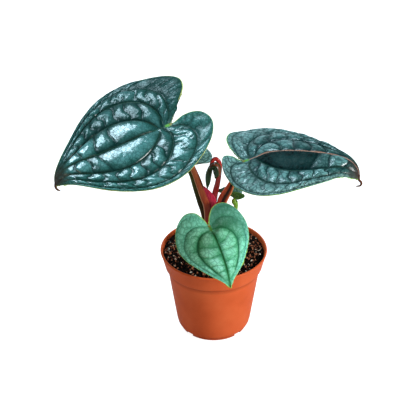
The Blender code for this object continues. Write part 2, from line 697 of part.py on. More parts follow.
def build_young_leaf(stalk_material, blade_material):
    """The hooked young stalk, and its rolled blade with one lobe unrolling beside it."""
    path, radii = smooth_path(YOUNG_STALK, YOUNG_STALK_RADII, 34)
    sweep("stalk_young", path, radii, stalk_section(STALK_SIDES), stalk_material)
    path, radii = smooth_path(YOUNG_ROLL, YOUNG_ROLL_RADII, 12)
    roll = sweep("leaf_young", path, radii, stalk_section(STALK_SIDES, 2, 0.12), blade_material)
    path, radii = smooth_path(YOUNG_LOBE, YOUNG_LOBE_RADII, 9)
    lobe = sweep("young_lobe", path, radii, stalk_section(STALK_SIDES, 2, 0.12), blade_material)
    apply_boolean(roll, lobe, "UNION")
    return roll


def build_sheath(material):
    """A pointed papery sheath: a curved plate that hugs the young stalk from the front."""
    rows = 12
    share = np.linspace(0.0, 1.0, rows)
    line = smooth_curve(SHEATH_LINE, share)
    half = smooth_curve(np.array(SHEATH_HALF_WIDTH)[:, None], share)[:, 0]
    curve = smooth_curve(np.array(SHEATH_CURVE)[:, None], share)[:, 0]
    columns = np.linspace(-1.0, 1.0, 7)
    points = []
    for depth in (0.0, -SHEATH_THICKNESS):
        for place, width, bend in zip(line, half, curve):
            for column in columns:
                points.append(place + np.array([width * column, bend * column ** 2 + depth, 0.0]))
    across = len(columns)
    back = rows * across
    faces = []
    for row in range(rows - 1):
        for column in range(across - 1):
            a = row * across + column
            faces.append((a, a + 1, a + 1 + across, a + across))
            faces.append((back + a, back + a + across, back + a + 1 + across, back + a + 1))
    rim = list(range(across)) + [row * across + across - 1 for row in range(1, rows)]
    rim += [(rows - 1) * across + column for column in reversed(range(across - 1))]
    rim += [row * across for row in reversed(range(1, rows - 1))]
    for here, ahead in zip(rim, rim[1:] + rim[:1]):
        faces.append((here, back + here, back + ahead, ahead))
    return add_object("sheath", points, faces, material)


def build_stem(material):
    """The short ringed stem on its root stub, with a socket for each stalk's foot."""
    level = POT_HEIGHT - MIX_DEPTH_BELOW_RIM
    profile = [(0.0, STUB_BOTTOM), (STUB_RADIUS - 2.0, STUB_BOTTOM), (STUB_RADIUS, STUB_BOTTOM + 2.0)]
    profile += [(STUB_RADIUS, level - 9.6), (STEM_RADIUS - STEM_RING_DEPTH, level - 5.6)]
    height = level - 2.0
    while height < STEM_TOP - STEM_RING_HEIGHT:
        profile.append((STEM_RADIUS, height))
        profile.append((STEM_RADIUS - STEM_RING_DEPTH, height + 0.75 * STEM_RING_HEIGHT))
        height += STEM_RING_HEIGHT
    profile += [(STEM_RADIUS, STEM_TOP - 2.4), (STEM_RADIUS - 1.2, STEM_TOP - 0.6)]
    profile += [(STEM_RADIUS - 3.6, STEM_TOP), (0.0, STEM_TOP)]
    stem = revolve("stem", profile, material, STEM_SEGMENTS)
    feet = [stalk_path(key, 30) for key in STALKS]
    feet.append(smooth_path(YOUNG_STALK, YOUNG_STALK_RADII, 60))
    for path, radii in feet:
        keep = path[:, 2] < STEM_TOP + 6.0
        foot = path[keep]
        down = foot[0] + (foot[0] - foot[1]) / np.linalg.norm(foot[0] - foot[1]) * SOCKET_GAP
        socket = np.concatenate([down[None], foot[1:]])
        section = stalk_section(STALK_SIDES)
        cutter = sweep("socket", socket, radii[keep] + SOCKET_GAP, section, material)
        apply_boolean(stem, cutter)
    return stem


def main():
    clear_scene()
    terracotta = finish("terracotta_plastic", (0.60, 0.16, 0.06), 0.5)
    mix = finish("potting_mix", (0.03, 0.02, 0.015), 0.95)
    bark = finish("stem_skin", (0.16, 0.07, 0.04), 0.7)
    brown_stalk = finish("brown_stalk", (0.40, 0.13, 0.04), 0.45)
    green_stalk = finish("green_stalk", (0.12, 0.20, 0.03), 0.45)
    red_stalk = finish("red_stalk", (0.35, 0.03, 0.03), 0.35)
    crimson_sheath = finish("crimson_sheath", (0.36, 0.02, 0.05), 0.5)
    dark_leaf = finish("dark_leaf", (0.03, 0.12, 0.11), 0.25)
    mint_leaf = finish("mint_leaf", (0.10, 0.32, 0.18), 0.4)
    build_pot(terracotta)
    build_mix(mix)
    build_stem(bark)
    build_sheath(crimson_sheath)
    for key, leaf in LEAVES.items():
        build_blade("leaf_" + key, leaf, mint_leaf if key == "front" else dark_leaf)
        build_stalk(key, green_stalk if key in ("front", "back_right") else brown_stalk)
    build_young_leaf(red_stalk, dark_leaf)


main()
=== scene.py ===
"""The looks of a potted anthurium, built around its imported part, in metres in the part's own frame.

The sections follow the plant as it is put together: studio, pot, potting mix, stem, leaf stalks, sheath,
open blades, drip tips and the young rolled leaf. Sizes are in millimetres where a name ends in MM.
"""
import functools
import math

import bmesh
import bpy
import numpy as np
from mathutils import Matrix, Vector


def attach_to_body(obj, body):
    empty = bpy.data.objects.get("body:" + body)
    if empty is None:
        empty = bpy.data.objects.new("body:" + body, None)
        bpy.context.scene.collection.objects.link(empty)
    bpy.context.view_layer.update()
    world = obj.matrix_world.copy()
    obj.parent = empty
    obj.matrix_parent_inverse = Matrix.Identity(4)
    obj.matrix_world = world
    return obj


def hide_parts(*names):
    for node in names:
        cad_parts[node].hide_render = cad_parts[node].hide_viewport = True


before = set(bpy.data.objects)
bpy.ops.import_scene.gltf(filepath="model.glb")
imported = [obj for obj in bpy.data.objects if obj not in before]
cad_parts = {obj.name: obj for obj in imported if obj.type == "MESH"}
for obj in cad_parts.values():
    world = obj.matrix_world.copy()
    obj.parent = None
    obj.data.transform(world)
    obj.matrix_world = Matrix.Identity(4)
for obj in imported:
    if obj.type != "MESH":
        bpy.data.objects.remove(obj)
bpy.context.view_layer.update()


# The studio: a wide white floor, a large soft light above, a panel behind, a softbox at each side, and a
# camera that looks down on the plant from the front. None of it is part of the plant.

def add_piece(name, points_mm, faces):
    """A smooth-shaded mesh object at the origin, from points in millimetres."""
    mesh = bpy.data.meshes.new(name)
    mesh.from_pydata((np.asarray(points_mm, dtype=float) * 0.001).tolist(), [], faces)
    mesh.shade_smooth()
    piece = bpy.data.objects.new(name, mesh)
    bpy.context.scene.collection.objects.link(piece)
    return piece


def new_material(name, roughness, specular=0.5, coat=0.0, coat_roughness=0.2):
    """A material with one Principled shader; gives the material, its tree and the shader."""
    material = bpy.data.materials.new(name)
    material.use_nodes = True
    shader = material.node_tree.nodes["Principled BSDF"]
    shader.inputs["Roughness"].default_value = roughness
    shader.inputs["Specular IOR Level"].default_value = specular
    shader.inputs["Coat Weight"].default_value = coat
    shader.inputs["Coat Roughness"].default_value = coat_roughness
    return material, material.node_tree, shader


def add_node(tree, kind, inputs=None, **settings):
    """A node with its settings; each input is a plain value or another node's output."""
    node = tree.nodes.new(kind)
    for key, value in settings.items():
        setattr(node, key, value)
    for key, value in (inputs or {}).items():
        if isinstance(value, bpy.types.NodeSocket):
            tree.links.new(value, node.inputs[key])
        else:
            node.inputs[key].default_value = value
    return node


def output_of(tree, kind, inputs=None, **settings):
    """The first output in use of a new node."""
    node = add_node(tree, kind, inputs, **settings)
    return next(socket for socket in node.outputs if socket.enabled)


def feed(shader, name, output):
    """Link a node's output to one of the shader's inputs."""
    shader.id_data.links.new(output, shader.inputs[name])


def mix_in(colour, over, factor):
    """One colour laid over another where the factor, a node's output, is high."""
    under = colour if isinstance(colour, bpy.types.NodeSocket) else (*colour, 1.0)
    return output_of(factor.id_data, "ShaderNodeMix", {"Factor": factor, "A": under, "B": (*over, 1.0)},
                     data_type="RGBA")


def add_light(name, place, target, size, watts, colour):
    """A rectangular soft light that shines from its place towards the target."""
    lamp = bpy.data.lights.new(name, "AREA")
    lamp.shape = "RECTANGLE"
    lamp.size, lamp.size_y = size
    lamp.energy = watts
    lamp.color = colour
    item = bpy.data.objects.new(name, lamp)
    item.location = place
    item.rotation_euler = (Vector(target) - Vector(place)).to_track_quat("-Z", "Y").to_euler()
    bpy.context.scene.collection.objects.link(item)


FLOOR_MM = {"reach": 9000.0, "level": -0.4}
FLOOR_CORNERS = ((-1, -1), (1, -1), (1, 1), (-1, 1))
studio_floor = add_piece("studio_floor", [
    (x * FLOOR_MM["reach"], y * FLOOR_MM["reach"], FLOOR_MM["level"]) for x, y in FLOOR_CORNERS
], [(0, 1, 2, 3)])
floor_paint, tree, shader = new_material("floor_paint", 0.8, specular=0.0)
shade = output_of(tree, "ShaderNodeTexNoise", {"Scale": 3.0})
feed(shader, "Base Color", mix_in((0.42, 0.42, 0.43), (0.46, 0.46, 0.47), shade))
# The paper glows for the camera alone, so it looks white without throwing that light on the plant.
seen = add_node(tree, "ShaderNodeLightPath").outputs["Is Camera Ray"]
feed(shader, "Emission Color", mix_in((0.0, 0.0, 0.0), (0.93, 0.92, 0.915), seen))
shader.inputs["Emission Strength"].default_value = 1.0
studio_floor.data.materials.append(floor_paint)

add_light("softbox_above", place=(-0.42, 0.32, 1.3), target=(-0.03, 0.0, 0.22), size=(0.7, 0.5),
          watts=21.0, colour=(0.62, 0.87, 1.0))
add_light("panel_behind", place=(0.0, 1.6, 0.62), target=(0.0, 0.0, 0.2), size=(2.4, 1.2),
          watts=12.0, colour=(0.66, 0.9, 1.0))
add_light("softbox_right", place=(1.3, -0.7, 0.7), target=(0.0, 0.0, 0.1), size=(0.7, 0.7),
          watts=28.0, colour=(0.98, 1.0, 1.0))
add_light("softbox_left", place=(-1.1, -0.9, 0.45), target=(0.0, 0.0, 0.1), size=(0.9, 0.9),
          watts=4.2, colour=(1.0, 0.76, 0.5))
sky = bpy.data.worlds.new("studio_air")
sky.use_nodes = True
seen = add_node(sky.node_tree, "ShaderNodeLightPath").outputs["Is Camera Ray"]
background = sky.node_tree.nodes["Background"]
feed(background, "Color", mix_in((0.13, 0.135, 0.14), (1.0, 1.0, 1.0), seen))
background.inputs["Strength"].default_value = 1.0
bpy.context.scene.world = sky
bpy.context.scene.view_settings.view_transform = "Standard"

eye = bpy.data.objects.new("camera", bpy.data.cameras.new("camera"))
eye.data.lens = 90.0
eye.data.sensor_width = 36.0
eye.location = (-0.0065, -0.9673, 0.7591)
eye.rotation_euler = (math.radians(58.0), 0.0, 0.0)
bpy.context.scene.collection.objects.link(eye)
bpy.context.scene.camera = eye


# The pot: a thin moulded shell of terracotta-coloured plastic with a tapered collar and a ring for a foot.
# Four notches and four drain holes are moulded through the foot. It stands on the floor and holds the mix.

POT_OUTSIDE_MM = (
    (0, 0), (24, 0), (38.2, 0), (38.6, 0.4), (38.7, 3.2), (39.6, 3.5), (40.8, 4.6), (41.7, 6.6),
    (42.3, 9.4), (42.6, 10.6), (47.6, 46), (52.1, 78.4), (52.3, 79.5), (52.7, 80.6), (53.6, 81.4),
    (54.7, 81.8), (55.15, 82.3), (55.35, 83.2), (57.4, 92), (59.3, 99.2), (59.75, 100.1), (59.95, 100.8),
    (59.8, 101.4), (59.3, 101.8),
)
POT_INSIDE_MM = (
    (58.6, 102), (58, 101.8), (57.65, 101.1), (57.4, 100), (52.9, 82.8), (51.2, 79.4), (41.3, 10.2),
    (38.4, 5.4), (36.3, 3.4), (34.6, 2), (23, 2), (0, 2),
)
NOTCH_MM = {"half_width": 4.5, "top": 3.2, "bevel_width": 0.6, "bevel_height": 0.7, "reach": (33.0, 46.0)}
DRAIN_HOLE_MM = {"radius": 3.5, "off_axis": 32.0, "top": 4.0}
UNDER_MM = -1.0


def level_ring(radius, height, segments):
    """Evenly spaced points of a level circle; a radius of 0 gives the one point of a pole."""
    turns = [2 * math.pi * step / segments for step in range(segments if radius > 0.0 else 1)]
    return [(radius * math.cos(turn), radius * math.sin(turn), height) for turn in turns]


def join_rings(rings):
    """The points of a skin over the rings, and the faces that join each ring to the next."""
    points, rows, faces = [], [], []
    for ring in rings:
        rows.append(range(len(points), len(points) + len(ring)))
        points += ring
    segments = max(len(ring) for ring in rings)
    for lower, upper in zip(rows, rows[1:]):
        for step in range(segments):
            after = (step + 1) % segments
            quad = (lower[step % len(lower)], lower[after % len(lower)],
                    upper[after % len(upper)], upper[step % len(upper)])
            faces.append(tuple(dict.fromkeys(quad)))
    return points, faces


def revolve(name, profile_mm, segments):
    """A closed turned piece from a profile of radius and height."""
    return add_piece(name, *join_rings([level_ring(*spot, segments) for spot in profile_mm]))


def settle(piece):
    """Turn a piece with modifiers into a plain mesh."""
    bpy.context.view_layer.update()
    graph = bpy.context.evaluated_depsgraph_get()
    mesh = bpy.data.meshes.new_from_object(piece.evaluated_get(graph), depsgraph=graph)
    piece.modifiers.clear()
    old = piece.data
    piece.data = mesh
    bpy.data.meshes.remove(old)
    return piece


def cut(piece, cutter):
    """Take the cutter's form out of the piece."""
    step = piece.modifiers.new("cut", "BOOLEAN")
    step.operation = "DIFFERENCE"
    step.solver = "EXACT"
    step.object = cutter
    settle(piece)
    bpy.data.objects.remove(cutter, do_unlink=True)


pot_shell = revolve("pot_shell", POT_OUTSIDE_MM + POT_INSIDE_MM, segments=144)
for degrees in (45, 135, 225, 315):
    turn = math.radians(degrees)
    outwards = np.array([math.cos(turn), math.sin(turn), 0.0])
    sideways = np.array([-outwards[1], outwards[0], 0.0])
    half, top = NOTCH_MM["half_width"], NOTCH_MM["top"]
    bevelled, bevel_foot = half - NOTCH_MM["bevel_width"], top - NOTCH_MM["bevel_height"]
    arch = ((-half, UNDER_MM), (half, UNDER_MM), (half, bevel_foot), (bevelled, top), (-bevelled, top),
            (-half, bevel_foot))
    corners = [outwards * reach + sideways * x + np.array([0.0, 0.0, z])
               for reach in NOTCH_MM["reach"] for x, z in arch]
    faces = [tuple(range(5, -1, -1)), tuple(range(6, 12))]
    faces += [(k, (k + 1) % 6, (k + 1) % 6 + 6, k + 6) for k in range(6)]
    cut(pot_shell, add_piece("notch", corners, faces))
    radius, top = DRAIN_HOLE_MM["radius"], DRAIN_HOLE_MM["top"]
    drill = revolve("drill", [(0.0, UNDER_MM), (radius, UNDER_MM), (radius, top), (0.0, top)], segments=24)
    drill.data.transform(Matrix.Translation(outwards * DRAIN_HOLE_MM["off_axis"] * 0.001))
    cut(pot_shell, drill)


def new_group(kind, name, inputs, outputs):
    """A node group with named sockets; gives the group, its inputs and the sockets of its output node.

    A socket is given by its default value, or by the name of its type where it has none.
    """
    types = {float: "Float", int: "Int", tuple: "Vector"}
    group = bpy.data.node_groups.new(name, kind + "NodeTree")
    for in_out, sockets in (("INPUT", inputs), ("OUTPUT", outputs)):
        for label, value in sockets.items():
            kind = value if isinstance(value, str) else types[type(value)]
            socket = group.interface.new_socket(label, in_out=in_out, socket_type="NodeSocket" + kind)
            if kind is not value:
                socket.default_value = value
    start = group.nodes.new("NodeGroupInput")
    return group, start.outputs, group.nodes.new("NodeGroupOutput").inputs


def use_group(tree, group, **values):
    """The group placed in a material; values are named as its inputs are, with _ for a space."""
    node = tree.nodes.new("ShaderNodeGroup")
    node.node_tree = group
    for key, value in values.items():
        socket = node.inputs[key.replace("_", " ")]
        if isinstance(value, bpy.types.NodeSocket):
            tree.links.new(value, socket)
        else:
            socket.default_value = value
    return node.outputs


# Mottle: soft large patches and fine grain, which every finish on the plant shares.
mottle, ins, outs = new_group(
    "Shader", "mottle", {"Vector": "Vector", "Patch scale": 60.0, "Grain scale": 1200.0, "Grain share": 0.4},
    {"Factor": "Float", "Grain": "Float"})
patches, grain = [
    output_of(mottle, "ShaderNodeTexNoise", {"Vector": ins["Vector"], "Scale": ins[scale], "Detail": detail})
    for scale, detail in (("Patch scale", 3.0), ("Grain scale", 4.0))
]
both = output_of(mottle, "ShaderNodeMix", {"Factor": ins["Grain share"], "A": patches, "B": grain})
mottle.links.new(both, outs["Factor"])
mottle.links.new(grain, outs["Grain"])


def maths(operation, *values):
    """One Math node's output from its values, at least one of which is another node's output."""
    tree = next(value.id_data for value in values if isinstance(value, bpy.types.NodeSocket))
    return output_of(tree, "ShaderNodeMath", dict(enumerate(values)), operation=operation)


plus = functools.partial(maths, "ADD")
minus = functools.partial(maths, "SUBTRACT")
times = functools.partial(maths, "MULTIPLY")
times_plus = functools.partial(maths, "MULTIPLY_ADD")


def remap(value, low, high, at_low, at_high):
    """A node's output carried from one range to another and held at its ends."""
    return output_of(value.id_data, "ShaderNodeMapRange", {
        "Value": value, "From Min": low, "From Max": high, "To Min": at_low, "To Max": at_high,
    })


def ramp(factor, stops):
    """A colour ramp over a node's output, with stops of place and colour."""
    node = add_node(factor.id_data, "ShaderNodeValToRGB", {"Fac": factor})
    band = node.color_ramp
    while len(band.elements) < len(stops):
        band.elements.new(0.5)
    for element, (place, colour) in zip(band.elements, stops):
        element.position = place
        element.color = (*colour, 1.0)
    return node.outputs["Color"]


def own_place(tree, stretch=1.0):
    """The place on the object, in metres, stretched along Z."""
    place = add_node(tree, "ShaderNodeTexCoord").outputs["Object"]
    if stretch == 1.0:
        return place
    return output_of(tree, "ShaderNodeMapping", {"Vector": place, "Scale": (1.0, 1.0, stretch)})


def put_bump(shader, height, distance, strength):
    """Fine relief on the shader, in metres, from a node's output."""
    inputs = {"Height": height, "Distance": distance, "Strength": strength}
    feed(shader, "Normal", output_of(shader.id_data, "ShaderNodeBump", inputs))


COLLAR_SHADE = {"height": 0.0785, "near": 0.0005, "far": 0.0045, "depth": 0.38}
terracotta, tree, shader = new_material("terracotta_plastic", 0.42, specular=0.05)
place = own_place(tree)
skin = use_group(tree, mottle, Vector=place, Patch_scale=26.0, Grain_scale=1500.0, Grain_share=0.25)
clay = ramp(skin["Factor"], [
    (0.3, (0.61, 0.096, 0.026)), (0.52, (0.71, 0.124, 0.037)), (0.72, (0.77, 0.152, 0.049)),
])
# Painted shade: a darker band on the body just under the collar's ledge, where the ledge's shadow falls.
up = add_node(tree, "ShaderNodeSeparateXYZ", {"Vector": place}).outputs["Z"]
off = maths("ABSOLUTE", minus(up, COLLAR_SHADE["height"]))
painted_collar_shade = remap(off, COLLAR_SHADE["near"], COLLAR_SHADE["far"], COLLAR_SHADE["depth"], 0.0)
feed(shader, "Base Color", mix_in(clay, (0.26, 0.035, 0.012), painted_collar_shade))
feed(shader, "Roughness", remap(skin["Factor"], 0.0, 1.0, 0.36, 0.52))
put_bump(shader, skin["Grain"], 0.0001, 0.35)
pot_shell.data.materials.append(terracotta)
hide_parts("pot")
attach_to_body(pot_shell, "root")


# The potting mix: damp dark peat with bark chips and pale perlite, filled to a little below the rim.
# Its body follows the inside of the pot; the loose bits lie pressed into its top.

MIX_MM = {"level": 98.5, "edge_drop": 1.0, "crowning": 1.0, "lump": 1.3, "edge": 56.1, "mouth": 12.4}
MIX_SIDE_MM = ((34.3, 2.35), (36.3, 3.5), (40.85, 10), (50.65, 79.6), (52.45, 82.6))
MIX_WAVES = ((0.31, 0.22, 0.4), (-0.24, 0.37, 2.1), (0.52, -0.13, 4.0), (0.11, 0.61, 5.2))


def mix_height(x, y):
    """Height of the rough, slightly domed top."""
    share = (MIX_MM["edge"] - math.hypot(x, y)) / (MIX_MM["edge"] - MIX_MM["mouth"])
    share = min(max(share, 0.0), 1.0)
    lumps = sum(math.sin(a * x + b * y + c) for a, b, c in MIX_WAVES) / len(MIX_WAVES)
    rough = MIX_MM["lump"] * lumps * math.sin(math.pi * min(0.9 * share + 0.08, 1.0)) ** 0.5
    rise = (MIX_MM["edge_drop"] + MIX_MM["crowning"]) * math.sin(0.5 * math.pi * share) ** 0.7
    return MIX_MM["level"] - MIX_MM["edge_drop"] + rise + rough


def mix_rings(outer_mm, inner_mm, count, segments):
    """Rings of points over the top of the mix, from the outer one in."""
    flat = [level_ring(radius, 0.0, segments) for radius in np.linspace(outer_mm, inner_mm, count)]
    return [[(x, y, mix_height(x, y)) for x, y, _ in ring] for ring in flat]


MIX_SEGMENTS, MIX_RINGS, INNERMOST_MM = 120, 34, 3.0
rings = [[(0.0, 0.0, MIX_SIDE_MM[0][1])]]
rings += [level_ring(*spot, MIX_SEGMENTS) for spot in MIX_SIDE_MM]
rings += mix_rings(MIX_MM["edge"], INNERMOST_MM, MIX_RINGS, MIX_SEGMENTS)
rings += [[(0.0, 0.0, mix_height(0.0, 0.0))]]
mix_body = add_piece("mix_body", *join_rings(rings))


def use_tree(piece, tree, values):
    """Put a Geometry Nodes tree on a piece, with its inputs set by the sockets' identifiers."""
    step = piece.modifiers.new(tree.name, "NODES")
    step.node_group = tree
    for socket in tree.interface.items_tree:
        if socket.in_out == "INPUT" and socket.name in values:
            step[socket.identifier] = values[socket.name]


def end_tree(tree, geometry, material, out):
    """End a Geometry Nodes tree with real geometry in its material."""
    real = output_of(tree, "GeometryNodeRealizeInstances", {"Geometry": geometry})
    clad = output_of(tree, "GeometryNodeSetMaterial", {"Geometry": real, "Material": material})
    tree.links.new(clad, out)


# Loose bits: one shape scattered over the top of the mix, each turned, sized and dented in its own way.
loose_bits, ins, outs = new_group("Geometry", "loose_bits", {
    "Geometry": "Geometry", "Density": 60000.0, "Smallest": (0.001, 0.001, 0.001),
    "Largest": (0.002, 0.002, 0.002), "Turn": (6.28, 6.28, 6.28), "Roundness": 1, "Dents": 0.0006,
    "Dent scale": 700.0, "Lift": 0.0002, "Seed": 1, "Material": "Material",
}, {"Geometry": "Geometry"})
make = functools.partial(output_of, loose_bits)
spots = make("GeometryNodeDistributePointsOnFaces", {
    "Mesh": ins["Geometry"], "Density": ins["Density"], "Seed": ins["Seed"],
})
turns, sizes = [
    make("FunctionNodeRandomValue", {**limits, "Seed": ins["Seed"]}, data_type="FLOAT_VECTOR")
    for limits in ({1: ins["Turn"]}, {0: ins["Smallest"], 1: ins["Largest"]})
]
lump = make("GeometryNodeMeshIcoSphere", {"Radius": 1.0, "Subdivisions": ins["Roundness"]})
placed = make("GeometryNodeInstanceOnPoints", {
    "Points": spots, "Instance": lump, "Rotation": turns, "Scale": sizes,
})
solid = make("GeometryNodeRealizeInstances", {"Geometry": placed})
dents = add_node(loose_bits, "ShaderNodeTexNoise", {"Scale": ins["Dent scale"], "Detail": 1.0})
middle = make("ShaderNodeVectorMath", {0: dents.outputs["Color"], 1: (0.5, 0.5, 0.5)}, operation="SUBTRACT")
dented = make("ShaderNodeVectorMath", {0: middle, "Scale": ins["Dents"]}, operation="SCALE")
lifted = make("ShaderNodeCombineXYZ", {"Z": ins["Lift"]})
raised = make("ShaderNodeVectorMath", {0: dented, 1: lifted}, operation="ADD")
moved = make("GeometryNodeSetPosition", {"Geometry": solid, "Offset": raised})
end_tree(loose_bits, moved, ins["Material"], outs["Geometry"])


def bits_material(name, stops, roughness):
    """A rough, broken surface whose colour changes from bit to bit and within each."""
    material, tree, shader = new_material(name, roughness, specular=0.08)
    skin = use_group(tree, mottle, Vector=own_place(tree), Patch_scale=260.0, Grain_scale=1800.0,
                     Grain_share=0.3)
    feed(shader, "Base Color", ramp(skin["Factor"], stops))
    put_bump(shader, skin["Grain"], 0.0005, 0.8)
    return material


damp_peat = bits_material("damp_peat", [
    (0.35, (0.003, 0.002, 0.002)), (0.58, (0.01, 0.006, 0.004)), (0.74, (0.05, 0.02, 0.012)),
], 0.85)
bark_brown = bits_material("bark_brown", [
    (0.36, (0.03, 0.01, 0.006)), (0.47, (0.16, 0.045, 0.022)), (0.56, (0.42, 0.15, 0.075)),
    (0.68, (0.7, 0.4, 0.25)),
], 0.6)
perlite_white = bits_material("perlite_white", [
    (0.34, (0.22, 0.25, 0.28)), (0.46, (0.5, 0.38, 0.26)), (0.58, (0.78, 0.68, 0.56)),
    (0.7, (0.9, 0.9, 0.88)),
], 0.8)

mix_body.data.materials.append(damp_peat)
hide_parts("potting_mix")
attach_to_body(mix_body, "root")


BITS_RINGS, BITS_SEGMENTS = 14, 60


def scatter_bits(name, inner_mm, outer_mm, values, material):
    """Loose bits over a ring of the mix's top."""
    piece = add_piece(name, *join_rings(mix_rings(outer_mm, inner_mm, BITS_RINGS, BITS_SEGMENTS)))
    use_tree(piece, loose_bits, {**values, "Material": material})
    settle(piece)
    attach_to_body(piece, "root")


scatter_bits("peat_clumps", 13.5, 55.0, {
    "Density": 260000.0, "Smallest": (0.0006, 0.0006, 0.0005), "Largest": (0.0021, 0.0017, 0.0013),
    "Dents": 0.0011, "Lift": 0.0001, "Seed": 3,
}, damp_peat)
scatter_bits("bark_chips", 14.0, 54.4, {
    "Density": 52000.0, "Smallest": (0.0008, 0.0006, 0.0004), "Largest": (0.0034, 0.0018, 0.0012),
    "Dents": 0.001, "Lift": 0.0005, "Seed": 11,
}, bark_brown)
scatter_bits("perlite_grains", 15.0, 54.2, {
    "Density": 15000.0, "Smallest": (0.0006, 0.0006, 0.0005), "Largest": (0.0021, 0.0016, 0.0013),
    "Dents": 0.0008, "Lift": 0.0009, "Seed": 29,
}, perlite_white)


# The stem: short, upright and ringed by old leaf scars, rooted in the mix. All the leaf stalks grow from its
# top. Its skin is dry, brown and slightly rough.

SCARS, FIRST_SCAR_MM, SCAR_STEP_MM, SCARS_END_MM = 4, 96.5, 4.6, 114.0
SCAR_SHAPE_MM = ((11.9, 0), (12, 0.7), (11.6, 2), (11.3, 3.4), (11.5, 4.2))
scars = [(radius, FIRST_SCAR_MM + SCAR_STEP_MM * ring + height)
         for ring in range(SCARS) for radius, height in SCAR_SHAPE_MM]
stem_profile = [(0, 62), (6, 62), (8, 64), (8, 88.9), (11.3, 92.9)]
stem_profile += [spot for spot in scars if spot[1] < SCARS_END_MM]
stem_profile += [(12, 114.6), (11.6, 115.8), (10.8, 116.4), (8.4, 117), (4, 117.1), (0, 117.1)]
stem_body = revolve("stem_body", stem_profile, segments=64)
stem_skin, tree, shader = new_material("stem_skin", 0.6, specular=0.35)
skin = use_group(tree, mottle, Vector=own_place(tree, 5.0), Patch_scale=90.0, Grain_scale=900.0,
                 Grain_share=0.45)
feed(shader, "Base Color", ramp(skin["Factor"], [
    (0.34, (0.045, 0.02, 0.01)), (0.5, (0.14, 0.055, 0.028)), (0.66, (0.24, 0.12, 0.05)),
]))
put_bump(shader, skin["Factor"], 0.0008, 0.6)
stem_body.data.materials.append(stem_skin)
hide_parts("stem")
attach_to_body(stem_body, "root")


# The leaf stalks: fleshy and blunt-ribbed. Each grows from the stem's top and carries one blade. The right
# one is winged, with a deep groove down its front; the young one is hooked over at its top.

def smooth_curve(points, share):
    """Points on a smooth curve through the given ones; share runs from 0 to 1."""
    points = np.asarray(points, dtype=float)
    last = len(points) - 1
    spot = np.clip(np.asarray(share, dtype=float), 0.0, 1.0) * last
    index = np.minimum(spot.astype(int), last - 1)
    t = (spot - index)[..., None]
    before, start = points[np.clip(index - 1, 0, last)], points[index]
    end, after = points[index + 1], points[np.clip(index + 2, 0, last)]
    bend = 2 * before - 5 * start + 4 * end - after
    twist = 3 * start - before - 3 * end + after
    return 0.5 * (2 * start + (end - before) * t + bend * t ** 2 + twist * t ** 3)


def stored(tree, name, kind="FLOAT"):
    """A value stored on the points, in a Geometry Nodes tree."""
    return output_of(tree, "GeometryNodeInputNamedAttribute", {"Name": name}, data_type=kind)


def store(tree, geometry, name, value):
    """Store a value on the points, in a Geometry Nodes tree."""
    inputs = {"Geometry": geometry, "Name": name, "Value": value}
    return output_of(tree, "GeometryNodeStoreNamedAttribute", inputs, data_type="FLOAT", domain="POINT")


# Ribbed stalk: a section with blunt ribs and, where it is wanted, a groove, swept along a path.
ribbed_stalk, ins, outs = new_group("Geometry", "ribbed_stalk", {
    "Geometry": "Geometry", "Sides": 32, "Ribs": 3.0, "Rib depth": 0.08, "Groove": 0.0, "Groove width": 0.42,
    "Material": "Material",
}, {"Geometry": "Geometry"})
make = functools.partial(output_of, ribbed_stalk)
circle = make("GeometryNodeCurvePrimitiveCircle", {"Resolution": ins["Sides"], "Radius": 1.0})
around = make("GeometryNodeSplineParameter")
angle = times(around, 2 * math.pi)
ribs = maths("COSINE", times(angle, ins["Ribs"]))
bulge = times_plus(ribs, ins["Rib depth"], 1.0)
near = maths("DIVIDE", maths("ABSOLUTE", minus(angle, math.pi)), ins["Groove width"])
dip = maths("EXPONENT", times(maths("POWER", near, 2.0), -1.0))
size = minus(bulge, times(dip, ins["Groove"]))
spot = make("GeometryNodeInputPosition")
scaled = make("ShaderNodeVectorMath", {0: spot, "Scale": size}, operation="SCALE")
section = make("GeometryNodeSetPosition", {"Geometry": circle, "Position": scaled})
marked = store(ribbed_stalk, section, "around", around)
line = make("GeometryNodeMeshToCurve", {"Mesh": ins["Geometry"]})
faced = make("GeometryNodeSetCurveNormal", {
    "Curve": line, "Normal": stored(ribbed_stalk, "front", "FLOAT_VECTOR"),
}, mode="FREE")
tube = make("GeometryNodeCurveToMesh", {
    "Curve": faced, "Profile Curve": marked, "Scale": stored(ribbed_stalk, "girth"), "Fill Caps": True,
})
smooth = make("GeometryNodeSetShadeSmooth", {"Geometry": tube})
end_tree(ribbed_stalk, smooth, ins["Material"], outs["Geometry"])


def add_values(piece, values):
    """Store named values, numbers or vectors, on the piece's points."""
    for label, value in values.items():
        value = np.asarray(value)
        kind, field = ("FLOAT", "value") if value.ndim == 1 else ("FLOAT_VECTOR", "vector")
        piece.data.attributes.new(label, kind, "POINT").data.foreach_set(field, value.ravel())


